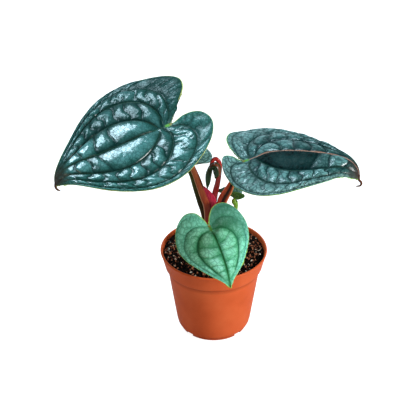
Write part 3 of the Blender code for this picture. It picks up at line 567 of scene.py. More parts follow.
def sweep(name, points_mm, radii_mm, steps, values):
    """A stalk along a smooth path; its front is the side that starts towards the viewer."""
    share = np.linspace(0.0, 1.0, 20 * steps)
    path = smooth_curve(points_mm, share)
    walked = np.concatenate([[0.0], np.cumsum(np.linalg.norm(np.diff(path, axis=0), axis=1))])
    share = np.interp(np.linspace(0.0, walked[-1], steps), walked, share)
    path = smooth_curve(points_mm, share)
    girth = smooth_curve(np.array(radii_mm)[:, None], share)[:, 0] * 0.001
    tangent = np.gradient(path, axis=0)
    tangent /= np.linalg.norm(tangent, axis=1, keepdims=True)
    side = np.cross(tangent[0], (0.0, 1.0, 0.0))
    fronts = []
    for direction in tangent:
        side = side - direction * (side @ direction)
        side /= np.linalg.norm(side)
        fronts.append(np.cross(side, direction))
    piece = add_piece(name, path, [])
    piece.data.edges.add(steps - 1)
    piece.data.edges.foreach_set("vertices", [end for k in range(steps - 1) for end in (k, k + 1)])
    add_values(piece, {"girth": girth, "front": fronts, "run": np.linspace(0.0, 1.0, steps)})
    use_tree(piece, ribbed_stalk, values)
    return settle(piece)


def value_of(tree, name, output="Fac"):
    """A value stored on the points, in a material."""
    return add_node(tree, "ShaderNodeAttribute", attribute_name=name).outputs[output]


PAINTED_GROOVE_SHADE = (0.012, 0.004, 0.003)


def stalk_material(name, foot, middle, top, left, right, groove=0.0, roughness=0.34, coat=0.1):
    """Fleshy skin: its colour runs from foot to top, with a rib down each side whose colour is partly the
    stalk's own tint and partly painted light and shade of its lit and shaded sides, painted shade as a dark
    line down the front where it is grooved, streaks and fine pores."""
    material, tree, shader = new_material(name, roughness, specular=0.12, coat=coat, coat_roughness=0.15)
    skin = use_group(tree, mottle, Vector=own_place(tree, 0.12), Patch_scale=420.0, Grain_scale=1600.0,
                     Grain_share=0.4)
    along = plus(value_of(tree, "run"), times(minus(skin["Factor"], 0.5), 0.25))
    colour = ramp(along, [(0.05, foot), (0.42, middle), (0.85, top)])
    around = value_of(tree, "around")
    # The side ribs' colours are partly the stalk's own tints and partly painted light and shade of its lit
    # and shaded sides; the third mark is painted shade in the front groove.
    for spot, half_width, over, strength in ((0.3, 0.09, left, 0.85), (0.7, 0.09, right, 0.85),
                                             (0.5, 0.13, PAINTED_GROOVE_SHADE, groove)):
        away = maths("ABSOLUTE", minus(around, spot))
        colour = mix_in(colour, over, remap(away, 0.3 * half_width, half_width, strength, 0.0))
    streaks = {"Color": colour, "Value": remap(skin["Factor"], 0.3, 0.7, 0.72, 1.28)}
    feed(shader, "Base Color", output_of(tree, "ShaderNodeHueSaturation", streaks))
    put_bump(shader, skin["Factor"], 0.0003, 0.5)
    return material


tan_stalk = stalk_material("tan_stalk", (0.4, 0.014, 0.022), (0.37, 0.072, 0.024), (0.4, 0.125, 0.038),
                           (0.85, 0.42, 0.16), (0.36, 0.03, 0.018))
winged_stalk = stalk_material(
    "winged_stalk", (0.42, 0.012, 0.018), (0.55, 0.045, 0.02), (0.46, 0.12, 0.036), (0.68, 0.08, 0.03),
    (0.72, 0.3, 0.1), groove=0.97)
dark_stalk = stalk_material("dark_stalk", (0.13, 0.03, 0.008), (0.045, 0.032, 0.008), (0.085, 0.105, 0.018),
                            (0.26, 0.27, 0.05), (0.32, 0.14, 0.04), coat=0.02)
green_stalk = stalk_material("green_stalk", (0.2, 0.07, 0.02), (0.24, 0.36, 0.035), (0.22, 0.42, 0.045),
                             (0.4, 0.55, 0.09), (0.24, 0.32, 0.05))
red_stalk = stalk_material("red_stalk", (0.26, 0.005, 0.01), (0.3, 0.008, 0.012), (0.42, 0.026, 0.02),
                           (0.52, 0.06, 0.035), (0.24, 0.008, 0.008), roughness=0.24, coat=0.5)

STALKS = {
    "left": {
        "points": ((-7.2, -1.5, 110), (-7, -1, 140), (-7.8, -0.5, 159), (-12, 0.6, 171.5),
                   (-17.7, 2.2, 189.5), (-22.6, 4, 202), (-33.5, 8.8, 225.5)),
        "radii": (3, 3.2, 4, 3.9, 3.5, 3.1, 2.8), "top": 1.3, "approach": 6.5, "groove": 0.0,
        "material": tan_stalk, "slot": "brown_stalk",
    },
    "right": {
        "points": ((6.4, -1.6, 110), (6.9, -1.1, 136), (7.9, 0.2, 156), (9.9, 1, 166),
                   (16, 1.8, 177.5), (20.4, 3.8, 185.5)),
        "radii": (3.2, 3.7, 4.9, 5.4, 4.5, 3.4), "top": 1.3, "approach": 6.5, "groove": 0.42,
        "material": winged_stalk, "slot": "brown_stalk",
    },
    "front": {
        "points": ((-0.8, -8.3, 110), (-1.4, -13, 122), (-2.8, -20.5, 133.5), (-4.2, -27, 142)),
        "radii": (2.2, 2.1, 2, 1.9), "top": 1, "approach": 5, "groove": 0.0,
        "material": green_stalk, "slot": "green_stalk",
    },
    "back_left": {
        "points": ((-5.2, 6.8, 110), (-12.2, 7.6, 144.5), (-15.7, 8.2, 157), (-20.9, 9.4, 176.5),
                   (-25.2, 12, 191)),
        "radii": (2.5, 2.6, 2.6, 2.5, 2.2), "top": 1, "approach": 5, "groove": 0.0,
        "material": dark_stalk, "slot": "brown_stalk",
    },
    "back_right": {
        "points": ((5.9, 6.4, 110), (14.2, 8.8, 122), (22, 11.8, 136), (24.6, 14.2, 147.5)),
        "radii": (1.9, 1.9, 2, 2.2), "top": 2.6, "approach": 1.6, "groove": 0.0,
        "material": green_stalk, "slot": "green_stalk",
    },
}
YOUNG_STALK_MM = (
    (-0.4, 3.2, 110), (-0.8, 2.8, 136), (-0.3, 2.6, 155), (1.2, 2, 172.6), (3.8, 0.9, 186),
    (5.6, 0.2, 200), (6, 0, 208), (4.7, 0, 213.8), (1.4, 0, 216.8), (-1.8, -0.6, 214.3),
    (-3.2, -1, 209.8),
)
YOUNG_STALK_RADII_MM = (2.4, 2.4, 2.8, 3.2, 2.9, 2.6, 2.5, 2.4, 2.3, 2.1, 1.9)

# Each blade's place, tilt and bend, which the top of its stalk meets. Angles are in degrees; the place is in
# millimetres. The left half lies to the left, seen from the stalk towards the tip.
LEAVES = {
    "left": {
        "place": (-46.2, 14.6, 250.3), "length": 140, "heading": 211.5, "pitch": -18, "roll": -15,
        "arch": -15, "tip_droop": 103, "sweep": 0, "lobe_lift": -16, "dimple": 5,
        "fold": (8.5, -5), "curl": (-3, 7),
        "left_half": (
            (0, 0), (-0.13, 0), (-0.24, 0.07), (-0.27, 0.19), (-0.2, 0.3), (-0.05, 0.4),
            (0.15, 0.48), (0.37, 0.48), (0.59, 0.39), (0.79, 0.25), (0.93, 0.1), (1, 0),
        ),
        "right_half": (
            (0, 0), (-0.11, 0.1), (-0.24, 0.18), (-0.28, 0.28), (-0.21, 0.39), (-0.07, 0.48),
            (0.12, 0.54), (0.35, 0.51), (0.56, 0.39), (0.75, 0.22), (0.9, 0.07), (1, 0),
        ),
    },
    "right": {
        "place": (32, 13.8, 205.9), "length": 131, "heading": -11.7, "pitch": 18, "roll": -7,
        "arch": 27, "tip_droop": 94, "sweep": -16, "lobe_lift": -40, "dimple": 6,
        "fold": (-8, 27.5), "curl": (5.6, -11),
        "left_half": (
            (0, 0), (-0.08, 0.085), (-0.185, 0.185), (-0.232, 0.295), (-0.212, 0.41), (-0.11, 0.49),
            (0.06, 0.5), (0.26, 0.42), (0.48, 0.28), (0.69, 0.145), (0.87, 0.05), (1, 0),
        ),
        "right_half": (
            (0, 0), (-0.1, -0.04), (-0.18, 0), (-0.16, 0.11), (-0.1, 0.24), (0, 0.39),
            (0.17, 0.5), (0.37, 0.51), (0.59, 0.42), (0.8, 0.28), (0.95, 0.12), (1, 0),
        ),
    },
    "front": {
        "place": (-5.3, -32.7, 152.2), "length": 78.9, "heading": -69.7, "pitch": -23.5, "roll": 6.3,
        "arch": 2, "tip_droop": 12, "sweep": -16.4, "lobe_lift": -11, "dimple": 4.1,
        "fold": (2.2, 15), "curl": (8, 12),
        "left_half": (
            (0, 0), (-0.12, 0.04), (-0.24, 0.13), (-0.28, 0.25), (-0.24, 0.37), (-0.11, 0.47),
            (0.09, 0.51), (0.31, 0.46), (0.53, 0.34), (0.73, 0.2), (0.89, 0.06), (1, 0),
        ),
        "right_half": (
            (0, 0), (-0.12, 0.04), (-0.24, 0.12), (-0.28, 0.24), (-0.23, 0.36), (-0.1, 0.48),
            (0.11, 0.54), (0.33, 0.5), (0.55, 0.38), (0.75, 0.23), (0.91, 0.08), (1, 0),
        ),
    },
    "back_left": {
        "place": (-32, 23.8, 193.6), "length": 62, "heading": 96, "pitch": 5, "roll": -22,
        "arch": 20, "tip_droop": 30, "sweep": 0, "lobe_lift": -50, "dimple": 3,
        "fold": (8, 8), "curl": (10, 10),
        "left_half": (
            (0, 0), (-0.12, 0.035), (-0.24, 0.12), (-0.28, 0.24), (-0.23, 0.36), (-0.1, 0.47),
            (0.1, 0.525), (0.32, 0.485), (0.54, 0.365), (0.74, 0.215), (0.9, 0.075), (1, 0),
        ),
    },
    "back_right": {
        "place": (24.6, 15, 156.8), "length": 25, "heading": 184, "pitch": 34, "roll": 0,
        "arch": 20, "tip_droop": 10, "sweep": 0, "lobe_lift": -20, "dimple": 1.2,
        "fold": (-50, -34), "curl": (-6, -2),
        "left_half": (
            (0, 0), (-0.09, 0.12), (-0.19, 0.26), (-0.27, 0.41), (-0.24, 0.54), (-0.08, 0.62),
            (0.12, 0.61), (0.34, 0.51), (0.56, 0.37), (0.76, 0.21), (0.91, 0.07), (1, 0),
        ),
    },
}


def turned(leaf, vector):
    """Turn a vector from the blade's own axes to the plant's."""
    roll, heading = math.radians(leaf["roll"]), math.radians(leaf["heading"])
    x = vector[..., 0]
    y = vector[..., 1] * math.cos(roll) - vector[..., 2] * math.sin(roll)
    z = vector[..., 1] * math.sin(roll) + vector[..., 2] * math.cos(roll)
    return np.stack([
        x * math.cos(heading) - y * math.sin(heading), x * math.sin(heading) + y * math.cos(heading), z,
    ], -1)


MIDRIB_SAMPLES, LOBE_REACH, TIP_START, CURL_REACH, SEAT_REACH = 24, 0.25, 0.75, 0.45, 0.16


def bent_place(leaf, side, along, across):
    """Turn a flat place, in shares of the length, into a point in millimetres on the bent blade.

    The midrib droops and sweeps, the halves fold and curl about it, and a dimple marks the stalk's seat.
    """
    def angles(s):
        ahead, behind = np.clip(s, 0.0, None), np.clip(-s, 0.0, None)
        pitch = leaf["pitch"] - leaf["arch"] * ahead + leaf["lobe_lift"] * behind / LOBE_REACH
        pitch = pitch - leaf["tip_droop"] * (np.clip(s - TIP_START, 0.0, None) / (1.0 - TIP_START)) ** 2
        return np.radians(pitch), math.radians(leaf["sweep"]) * ahead ** 2

    pitch, turn = angles(along[..., None] * (np.arange(MIDRIB_SAMPLES) + 0.5) / MIDRIB_SAMPLES)
    x = (np.cos(pitch) * np.cos(turn)).mean(-1) * along
    y = (np.cos(pitch) * np.sin(turn)).mean(-1) * along
    z = np.sin(pitch).mean(-1) * along
    pitch, turn = angles(along)
    half = 0 if side > 0 else 1
    fold = math.radians(leaf["fold"][half])
    curl = math.radians(leaf["curl"][half]) / CURL_REACH + 1e-4
    sideways = side * (np.sin(fold + curl * across) - math.sin(fold)) / curl
    drop = (math.cos(fold) - np.cos(fold + curl * across)) / curl
    funnel = np.exp(-(along ** 2 + across ** 2) / SEAT_REACH ** 2) - 1.0
    drop = drop + funnel * leaf["dimple"] / leaf["length"]
    point = (x + drop * np.sin(pitch) - sideways * np.sin(turn), y + sideways * np.cos(turn),
             z - drop * np.cos(pitch))
    return turned(leaf, np.stack(point, -1) * leaf["length"]) + np.array(leaf["place"])


# Each stalk runs square into the underside of its blade and ends just under the blade's middle sheet.
NEAR_SEAT, UNDER_SHEET_MM, SWELLING_MM = 0.03, 1.2, 0.8
for key, stalk in STALKS.items():
    leaf = LEAVES[key]
    seat = bent_place(leaf, 1, np.array([0.0, NEAR_SEAT, 0.0]), np.array([0.0, 0.0, NEAR_SEAT]))
    other = bent_place(leaf, -1, np.zeros(1), np.full(1, NEAR_SEAT))[0]
    up = np.cross(seat[1] - seat[0], seat[2] - other)
    up /= np.linalg.norm(up)
    end = seat[0] - up * UNDER_SHEET_MM
    points = list(stalk["points"]) + [tuple(end - up * stalk["approach"]), tuple(end)]
    radii = list(stalk["radii"]) + [stalk["top"] + SWELLING_MM, stalk["top"]]
    piece = sweep("petiole_" + key, points, radii, steps=90, values={
        "Groove": stalk["groove"], "Material": stalk["material"],
    })
    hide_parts("stalk_" + key)
    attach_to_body(piece, "root")
young_petiole = sweep("petiole_young", YOUNG_STALK_MM, YOUNG_STALK_RADII_MM, steps=110,
                      values={"Material": red_stalk})
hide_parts("stalk_young")
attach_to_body(young_petiole, "root")


# The sheath: a papery crimson scale that once wrapped the young stalk. It hugs the stalk's front from the
# stem up, and ends in a point that leans to the left.

SHEATH_LINE_MM = ((-0.5, -1.1, 117.5), (-0.5, -1.7, 136), (-0.3, -2.3, 150), (-0.3, -2.8, 160),
                  (-1.6, -2.9, 166), (-3.6, -2.5, 171), (-7.4, -1.6, 177.5), (-11, -0.8, 183))
SHEATH_HALF_WIDTH_MM = (3.6, 3.7, 3.8, 3.8, 4.2, 4.2, 2.9, 0.3)
SHEATH_CURVE_MM = (1.3, 1.3, 1.2, 1.2, 1.1, 0.8, 0.4, 0)
SHEATH_ROWS, SHEATH_COLUMNS, SHEATH_THICKNESS = 70, 19, 0.0007

share = np.linspace(0.0, 1.0, SHEATH_ROWS)
middle = smooth_curve(SHEATH_LINE_MM, share)
widths, bows = [smooth_curve(np.array(sizes)[:, None], share)[:, 0]
                for sizes in (SHEATH_HALF_WIDTH_MM, SHEATH_CURVE_MM)]
points = [spot + np.array([width * c, bow * c * c, 0.0])
          for spot, width, bow in zip(middle, widths, bows) for c in np.linspace(-1.0, 1.0, SHEATH_COLUMNS)]
firsts = [row * SHEATH_COLUMNS + column
          for row in range(SHEATH_ROWS - 1) for column in range(SHEATH_COLUMNS - 1)]
faces = [(a, a + 1, a + SHEATH_COLUMNS + 1, a + SHEATH_COLUMNS) for a in firsts]
sheath_scale = add_piece("sheath_scale", points, faces)


def thicken(piece, thickness, material_offset=0):
    """Give a sheet its thickness, in metres, below its surface."""
    step = piece.modifiers.new("thickness", "SOLIDIFY")
    step.thickness = thickness
    step.offset = -1.0
    step.material_offset = material_offset
    settle(piece)


thicken(sheath_scale, SHEATH_THICKNESS)
crimson, tree, shader = new_material("crimson_sheath", 0.4, specular=0.2, coat=0.2, coat_roughness=0.3)
shader.inputs["Sheen Weight"].default_value = 0.5
shader.inputs["Sheen Tint"].default_value = (0.9, 0.5, 0.75, 1.0)
skin = use_group(tree, mottle, Vector=own_place(tree, 0.07), Patch_scale=700.0, Grain_scale=2600.0,
                 Grain_share=0.4)
feed(shader, "Base Color", ramp(skin["Factor"], [
    (0.34, (0.34, 0.006, 0.03)), (0.52, (0.62, 0.01, 0.05)), (0.7, (0.78, 0.04, 0.08)),
]))
put_bump(shader, skin["Factor"], 0.0004, 0.6)
sheath_scale.data.materials.append(crimson)
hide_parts("sheath")
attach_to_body(sheath_scale, "root")


# The open blades: leathery hearts whose skin is puffed into pillows between sunken veins. Each is one thin
# sheet with a pale edge line, held by the top of its stalk, and the two large ones end in a small hooked drip
# tip.

# By band, from the midrib out: how far it puffs, its columns in the mesh, how many cross veins it has where
# none are given, and how far those veins lean.
PUFF_GAIN = (1.0, 0.9, 0.82, 0.5)
COLUMNS = (20, 15, 12, 11)
CROSSINGS = (0, 0, 14, 17)
CROSS_LEAN = (0.0, 0.13, 0.11, 0.07)
# Where the side veins leave the midrib, how unevenly the cross veins lie and how evenly the mesh's columns.
VEIN_SAMPLES, LAST_START, START_POWER, MIDRIB_START, MIDRIB_POWER = 600, 0.4, 3.2, 0.2, 1.6
CROSS_JITTER, SEED_STEP, EVENNESS = 0.22, 17, 0.45


def vein_line(outline, u, steps):
    """Flat points, evenly spaced, along side vein u: 0 is the midrib and 1 the margin."""
    first = LAST_START * (1.0 - u ** START_POWER)
    slowness = 0.5 * (1.0 - u) + 0.25 * (1.0 - u) ** 3
    v = np.linspace(0.0, 1.0, VEIN_SAMPLES) ** 2
    share = (1.0 - (1.0 - u) ** 2) * (1.0 - np.maximum(1.0 - v, 1e-12) ** (1.0 / max(slowness, 1e-3)))
    q = first + (1.0 - first) * v
    edge = smooth_curve(outline, q)
    on_midrib = np.clip((q - MIDRIB_START) / (1.0 - MIDRIB_START), 0.0, 1.0) ** MIDRIB_POWER
    along = (1.0 - share) * on_midrib + share * edge[..., 0]
    across = share * edge[..., 1]
    walked = np.concatenate([[0.0], np.cumsum(np.hypot(np.diff(along), np.diff(across)))])
    stops = np.linspace(0.0, 1.0, steps + 1) * walked[-1]
    return np.interp(stops, walked, along), np.interp(stops, walked, across), stops


def cross_veins(half_pillows, band, seed):
    """Where the cross veins of one band lie along it, from 0 at the stalk to 1 at the tip."""
    if band < len(half_pillows):
        return np.array((0.0,) + half_pillows[band] + (1.0,))
    count = CROSSINGS[band]
    rng = np.random.default_rng(seed + SEED_STEP * band)
    shifts = rng.uniform(-CROSS_JITTER, CROSS_JITTER, count - 1) / count
    return np.concatenate([[0.0], np.linspace(0.0, 1.0, count + 1)[1:-1] + shifts, [1.0]])


def mesh_columns(side_veins):
    """The mesh's columns, closer together beside each side vein, as places from 0 to 1 with their bands."""
    columns = []
    for band, count in enumerate(COLUMNS):
        t = np.linspace(0.0, 1.0, count + 1)[:count + (band == len(COLUMNS) - 1)]
        t = EVENNESS * t + (1.0 - EVENNESS) * (0.5 - 0.5 * np.cos(np.pi * t))
        columns += [(u, band) for u in side_veins[band] + (side_veins[band + 1] - side_veins[band]) * t]
    return columns


# The puff fades towards the stalk's seat and where the side veins run close together. Every pillow has its
# own number, and the cross veins waver a little.
SEAT_FADE_MM, NARROW_MM, NO_ROOM_MM, ROOM_MM = 14.0, 10.0, 2.5, 8.0
STEEPEST_PUFF, LEAST_PUFF = 0.2, 0.15
BAND_NUMBERS, HALF_NUMBERS = 40, 400
WAVER, SHADE_FADES = 0.012, (0.1, 0.3)


def blade_sheet(name, leaf, blade):
    """The blade's bent middle sheet, with what its relief and colours follow stored on its points."""
    scale, rows = leaf["length"], blade["rows"]
    points, faces, stored_values = [], [], {}
    for side, half in ((1, "left_half"), (-1, "right_half")):
        outline = leaf.get(half, leaf["left_half"])
        side_veins = blade["veins"][half]
        lines = [vein_line(outline, u, rows) for u in side_veins]
        margin = lines[-1]
        columns = mesh_columns(side_veins)
        start = len(points)
        for u, band in columns:
            along, across, walked = vein_line(outline, u, rows)
            low, high = lines[band], lines[band + 1]
            width = np.hypot(high[0] - low[0], high[1] - low[1]) + 1e-9
            inner = np.hypot(along - low[0], across - low[1])
            outer = np.hypot(high[0] - along, high[1] - across)
            w = inner / (inner + outer + 1e-9)
            stops = cross_veins(blade["pillows"][half], band, blade["seed"] + (side > 0) * 5)
            run = np.linspace(0.0, 1.0, rows + 1)
            lean = CROSS_LEAN[band] * (1.0 - run ** 2)
            waver = WAVER * np.sin(9.0 * run * (band + 2) + 5.0 * w)
            slant = np.clip(run - lean * (w - 0.5) + waver, 0, 1)
            number = np.interp(slant, stops, np.arange(len(stops)))
            spacing = np.diff(stops)[np.clip(number.astype(int), 0, len(stops) - 2)] * walked[-1] * scale
            attach = np.hypot(along, across) * scale
            puff = blade["puff_mm"] * blade.get("gains", PUFF_GAIN)[band]
            rise = np.minimum(puff, STEEPEST_PUFF * width * scale)
            rise = rise * np.clip(attach / SEAT_FADE_MM, 0.0, 1.0) ** 1.2
            rise = rise * np.clip(width * scale / NARROW_MM, LEAST_PUFF, 1.0)
            # Painted shade: how dark each point of a listed band is painted, fading in and out along the
            # band.
            painted_shade = np.zeros_like(w)
            for shaded_half, shaded_band, first, last, depth in blade.get("shades", ()):
                if (shaded_half, shaded_band) == (half, band):
                    fade_in = np.clip((slant - first) / SHADE_FADES[0], 0.0, 1.0)
                    fade_out = np.clip((last - slant) / SHADE_FADES[1], 0.0, 1.0)
                    painted_shade = np.maximum(painted_shade, depth * fade_in * fade_out)
            points.append(bent_place(leaf, side, along, across))
            values = {
                "rise": rise * 0.001, "across": w, "reach": np.full_like(w, u), "shade": painted_shade,
                "pillow": number + BAND_NUMBERS * band + (0 if side > 0 else HALF_NUMBERS),
                "vein_mm": np.minimum(inner, outer) * scale,
                "cross_mm": np.abs(number - np.round(number)) * spacing,
                "room": np.clip((width * scale - NO_ROOM_MM) / ROOM_MM, 0.0, 1.0),
                "midrib_mm": np.abs(across) * scale + np.clip(-along, 0.0, None) * scale,
                "edge_mm": np.hypot(margin[0] - along, margin[1] - across) * scale,
                "heart_mm": attach, "tip_mm": np.hypot(1.0 - along, across) * scale,
                "flat": np.stack([along, side * across, np.full_like(along, side)], -1) * scale,
            }
            for label, value in values.items():
                stored_values.setdefault(label, []).append(value)
        for column in range(len(columns) - 1):
            for row in range(rows):
                a = (start + column) * (rows + 1) + row
                b = a + rows + 1
                faces.append((a, a + 1, b + 1, b) if side < 0 else (a, b, b + 1, a + 1))
    sheet = add_piece(name, np.concatenate(points), faces)
    add_values(sheet, {label: np.concatenate(values) for label, values in stored_values.items()})
    work = bmesh.new()
    work.from_mesh(sheet.data)
    bmesh.ops.remove_doubles(work, verts=work.verts, dist=0.000004)
    bmesh.ops.dissolve_degenerate(work, edges=work.edges, dist=0.000002)
    bmesh.ops.recalc_face_normals(work, faces=work.faces)
    up = Vector(turned(leaf, np.array([0.0, 0.0, 1.0])))
    if sum(face.calc_area() * face.normal.dot(up) for face in work.faces) < 0:
        bmesh.ops.reverse_faces(work, faces=work.faces)
    work.to_mesh(sheet.data)
    work.free()
    return sheet


# Quilting: lifts the skin into pillows between the veins and puckers it with fine wrinkles. Each pillow has
# its own height and tilt.
quilting, ins, outs = new_group("Geometry", "quilting", {
    "Geometry": "Geometry", "Valley share": 0.45, "Steepness": 0.4, "End steepness": 0.36,
    "Lowest": 0.74, "Height change": 0.34, "Tilt": 0.8, "Level": 0.6, "Wrinkle size": 0.004,
    "Wrinkle height": 0.0005, "Seed": 1, "Material": "Material",
}, {"Geometry": "Geometry"})


def arch_over(share, power):
    """Rises from 0 to 1 and back as the share runs from 0 to 1."""
    wave = maths("SINE", times(share, math.pi))
    return maths("POWER", maths("MAXIMUM", wave, 0.0), power)


make = functools.partial(output_of, quilting)
between = arch_over(stored(quilting, "across"), ins["Steepness"])
pillow = stored(quilting, "pillow")
hump = arch_over(maths("FRACT", pillow), ins["End steepness"])
ridge = times_plus(hump, minus(1.0, ins["Valley share"]), ins["Valley share"])
chance = make("FunctionNodeRandomValue", {
    2: 0.0, 3: 1.0, "ID": maths("FLOOR", pillow), "Seed": ins["Seed"],
}, data_type="FLOAT")
own = times_plus(chance, ins["Height change"], ins["Lowest"])
tilt = times(minus(chance, 0.5), minus(maths("FRACT", pillow), 0.5))
ridge = times(ridge, times_plus(tilt, ins["Tilt"], 1.0))
quilt = minus(times(between, ridge), ins["Level"])
quilt = times_plus(quilt, stored(quilting, "room"), ins["Level"])
height = times(times(quilt, stored(quilting, "rise")), own)
pucker = make("ShaderNodeTexNoise", {
    "Vector": stored(quilting, "flat", "FLOAT_VECTOR"), "Scale": maths("DIVIDE", 0.001, ins["Wrinkle size"]),
    "Detail": 3.0,
})
wrinkle = times(minus(pucker, 0.5), ins["Wrinkle height"])
lift = plus(height, times(wrinkle, between))
normal = make("GeometryNodeInputNormal")
push = make("ShaderNodeVectorMath", {0: normal, "Scale": lift}, operation="SCALE")
puffed = make("GeometryNodeSetPosition", {"Geometry": ins["Geometry"], "Offset": push})
toned = store(quilting, store(quilting, puffed, "quilt", quilt), "chance", chance)
end_tree(quilting, toned, ins["Material"], outs["Geometry"])

# Fine veins: a net of small sunken veins over the skin, as a mask of lines and a height.
fine_veins, ins, outs = new_group(
    "Shader", "fine_veins", {"Vector": "Vector", "Mesh size": 6.0, "Line": 0.12},
    {"Lines": "Float", "Height": "Float"})
make = functools.partial(output_of, fine_veins)
bent = add_node(fine_veins, "ShaderNodeTexNoise", {"Vector": ins["Vector"], "Scale": 0.25, "Detail": 1.0})
shifted = make("ShaderNodeVectorMath", {
    0: bent.outputs["Color"], 1: (3.0, 3.0, 0.0), 2: ins["Vector"],
}, operation="MULTIPLY_ADD")
net = make("ShaderNodeTexVoronoi", {
    "Vector": shifted, "Scale": maths("DIVIDE", 1.0, ins["Mesh size"]),
}, feature="DISTANCE_TO_EDGE")
small = make("ShaderNodeTexNoise", {"Vector": ins["Vector"], "Scale": 0.9, "Detail": 4.0})
flat_top = maths("MINIMUM", times(net, 3.0), 1.0)
fine_veins.links.new(remap(net, 0.0, ins["Line"], 1.0, 0.0), outs["Lines"])
fine_veins.links.new(times_plus(small, 0.6, flat_top), outs["Height"])


def fades(tree, name, near, far, strength=1.0):
    """The strength where the stored distance is under near, falling to 0 at far."""
    return remap(value_of(tree, name), near, far, strength, 0.0)


COOL_GLINT, SEAT_RED, DRY_TIP = (0.62, 0.93, 1.0, 1.0), (0.3, 0.045, 0.04), (0.06, 0.022, 0.016)


def blade_material(name, look):
    """The upper skin: painted shade in the valleys and beside the sunken veins, a paler crest on each pillow
    that is partly its own tone and partly a painted highlight, green along the margin, and a coat of wax that
    lies in patches on the pillows. The layers go on in order; distances are in millimetres."""
    material, tree, shader = new_material(name, look["roughness"], look["specular"], look["coat"],
                                          look["coat_roughness"])
    shader.inputs["Specular Tint"].default_value = COOL_GLINT
    shader.inputs["Coat IOR"].default_value = look["coat_ior"]
    flat = value_of(tree, "flat", "Vector")
    skin = use_group(tree, mottle, Vector=flat, Patch_scale=0.09, Grain_scale=1.1, Grain_share=0.45)
    net = use_group(tree, fine_veins, Vector=flat, Mesh_size=look["mesh"], Line=look["line"])
    quilt, chance, shade, room = [value_of(tree, label) for label in ("quilt", "chance", "shade", "room")]
    # From the pillow heights: painted shade low in each valley and a paler crest, partly the skin's own tone
    # and partly a painted highlight; mottle and chance vary it at random.
    patchy = times_plus(minus(skin["Factor"], 0.5), 1.2, quilt)
    tone = times_plus(minus(chance, 0.5), look["pillow_change"], patchy)
    colour = ramp(tone, [(0.3, look["deep"]), (0.7, look["body"]), (1.0, look["crest"])])
    outermost = look["outer_groove"]
    roomy = times(room, plus(fades(tree, "reach", 0.5, 0.66, 1.0 - outermost), outermost))
    seat = times(fades(tree, "midrib_mm", 0.5, 2.6), fades(tree, "heart_mm", 5.0, look["heart_mm"]))
    # Laid on in order: the green margin; a paler tone over the outer bands, partly their own colour and
    # partly painted light; painted shade over the bands listed as shaded; the fine veins' net, darker partly
    # in its own tone and partly with painted shade; painted shade in the creases beside the side and cross
    # veins; then the pale vein lines, midrib, heart, red seat, dry tip and pale edge in their own colours.
    for over, factor in (
        (look["margin"], fades(tree, "edge_mm", 1.0, look["margin_mm"], 0.8)),
        (look["lobe"], minus(look["lobe_share"], fades(tree, "reach", 0.45, 0.75, look["lobe_share"]))),
        ([0.2 * part for part in look["deep"]], times(shade, remap(skin["Factor"], 0.42, 0.6, 1.0, 0.85))),
        (look["deep"], times(net["Lines"], look["net"])),
        (look["deep"], times(fades(tree, "vein_mm", 0.5, look["groove_mm"], look["groove"]), roomy)),
        (look["deep"], times(fades(tree, "cross_mm", 0.2, look["cross_mm"], look["cross"]), roomy)),
        (look["vein"], times(fades(tree, "vein_mm", 0.1, 0.55, look["line_share"]), roomy)),
        (look["midrib"], fades(tree, "midrib_mm", 0.25, look["midrib_mm"], 0.9)),
        (look["heart"], seat),
        (SEAT_RED, fades(tree, "heart_mm", 0.5, 2.0, 0.9)),
        (DRY_TIP, fades(tree, "tip_mm", 2.0, look["tip_mm"], 0.75)),
        (look["edge"], fades(tree, "edge_mm", 0.15, look["edge_mm"], 0.95)),
    ):
        colour = mix_in(colour, over, factor)
    feed(shader, "Base Color", colour)
    rougher = remap(skin["Factor"], 0.3, 0.7, look["roughness"] - 0.07, look["roughness"] + 0.12)
    feed(shader, "Roughness", rougher)
    wax = times(times_plus(chance, 0.45, 0.55), look["coat"])
    for share in (
        remap(quilt, 0.18, 0.52, 0.1, 1.0),
        plus(fades(tree, "edge_mm", 3.0, 11.0, -0.8), 1.0),
        minus(1.0, shade),
        plus(fades(tree, "reach", 0.7, 0.92, 0.82), 0.18),
        remap(skin["Factor"], 0.43, 0.52, 0.18, 1.0),
        times_plus(net["Lines"], -0.6, 1.0),
    ):
        wax = times(wax, share)
    feed(shader, "Coat Weight", wax)
    put_bump(shader, net["Height"], look["relief"], 0.8)
    return material


def under_material(name, body, vein):
    """The lower skin: paler, matt, and netted with raised veins."""
    material, tree, shader = new_material(name, 0.55, specular=0.35)
    flat = value_of(tree, "flat", "Vector")
    skin = use_group(tree, mottle, Vector=flat, Patch_scale=0.1, Grain_scale=1.3, Grain_share=0.4)
    net = use_group(tree, fine_veins, Vector=flat, Mesh_size=6.0, Line=0.14)
    colour = ramp(skin["Factor"], [(0.3, [0.7 * part for part in body]), (0.7, body)])
    for factor in (times(net["Lines"], 0.35), fades(tree, "vein_mm", 0.3, 1.2, 0.8),
                   fades(tree, "midrib_mm", 0.4, 2.0, 0.9)):
        colour = mix_in(colour, vein, factor)
    feed(shader, "Base Color", colour)
    put_bump(shader, net["Lines"], 0.0004, 0.7)
    return material


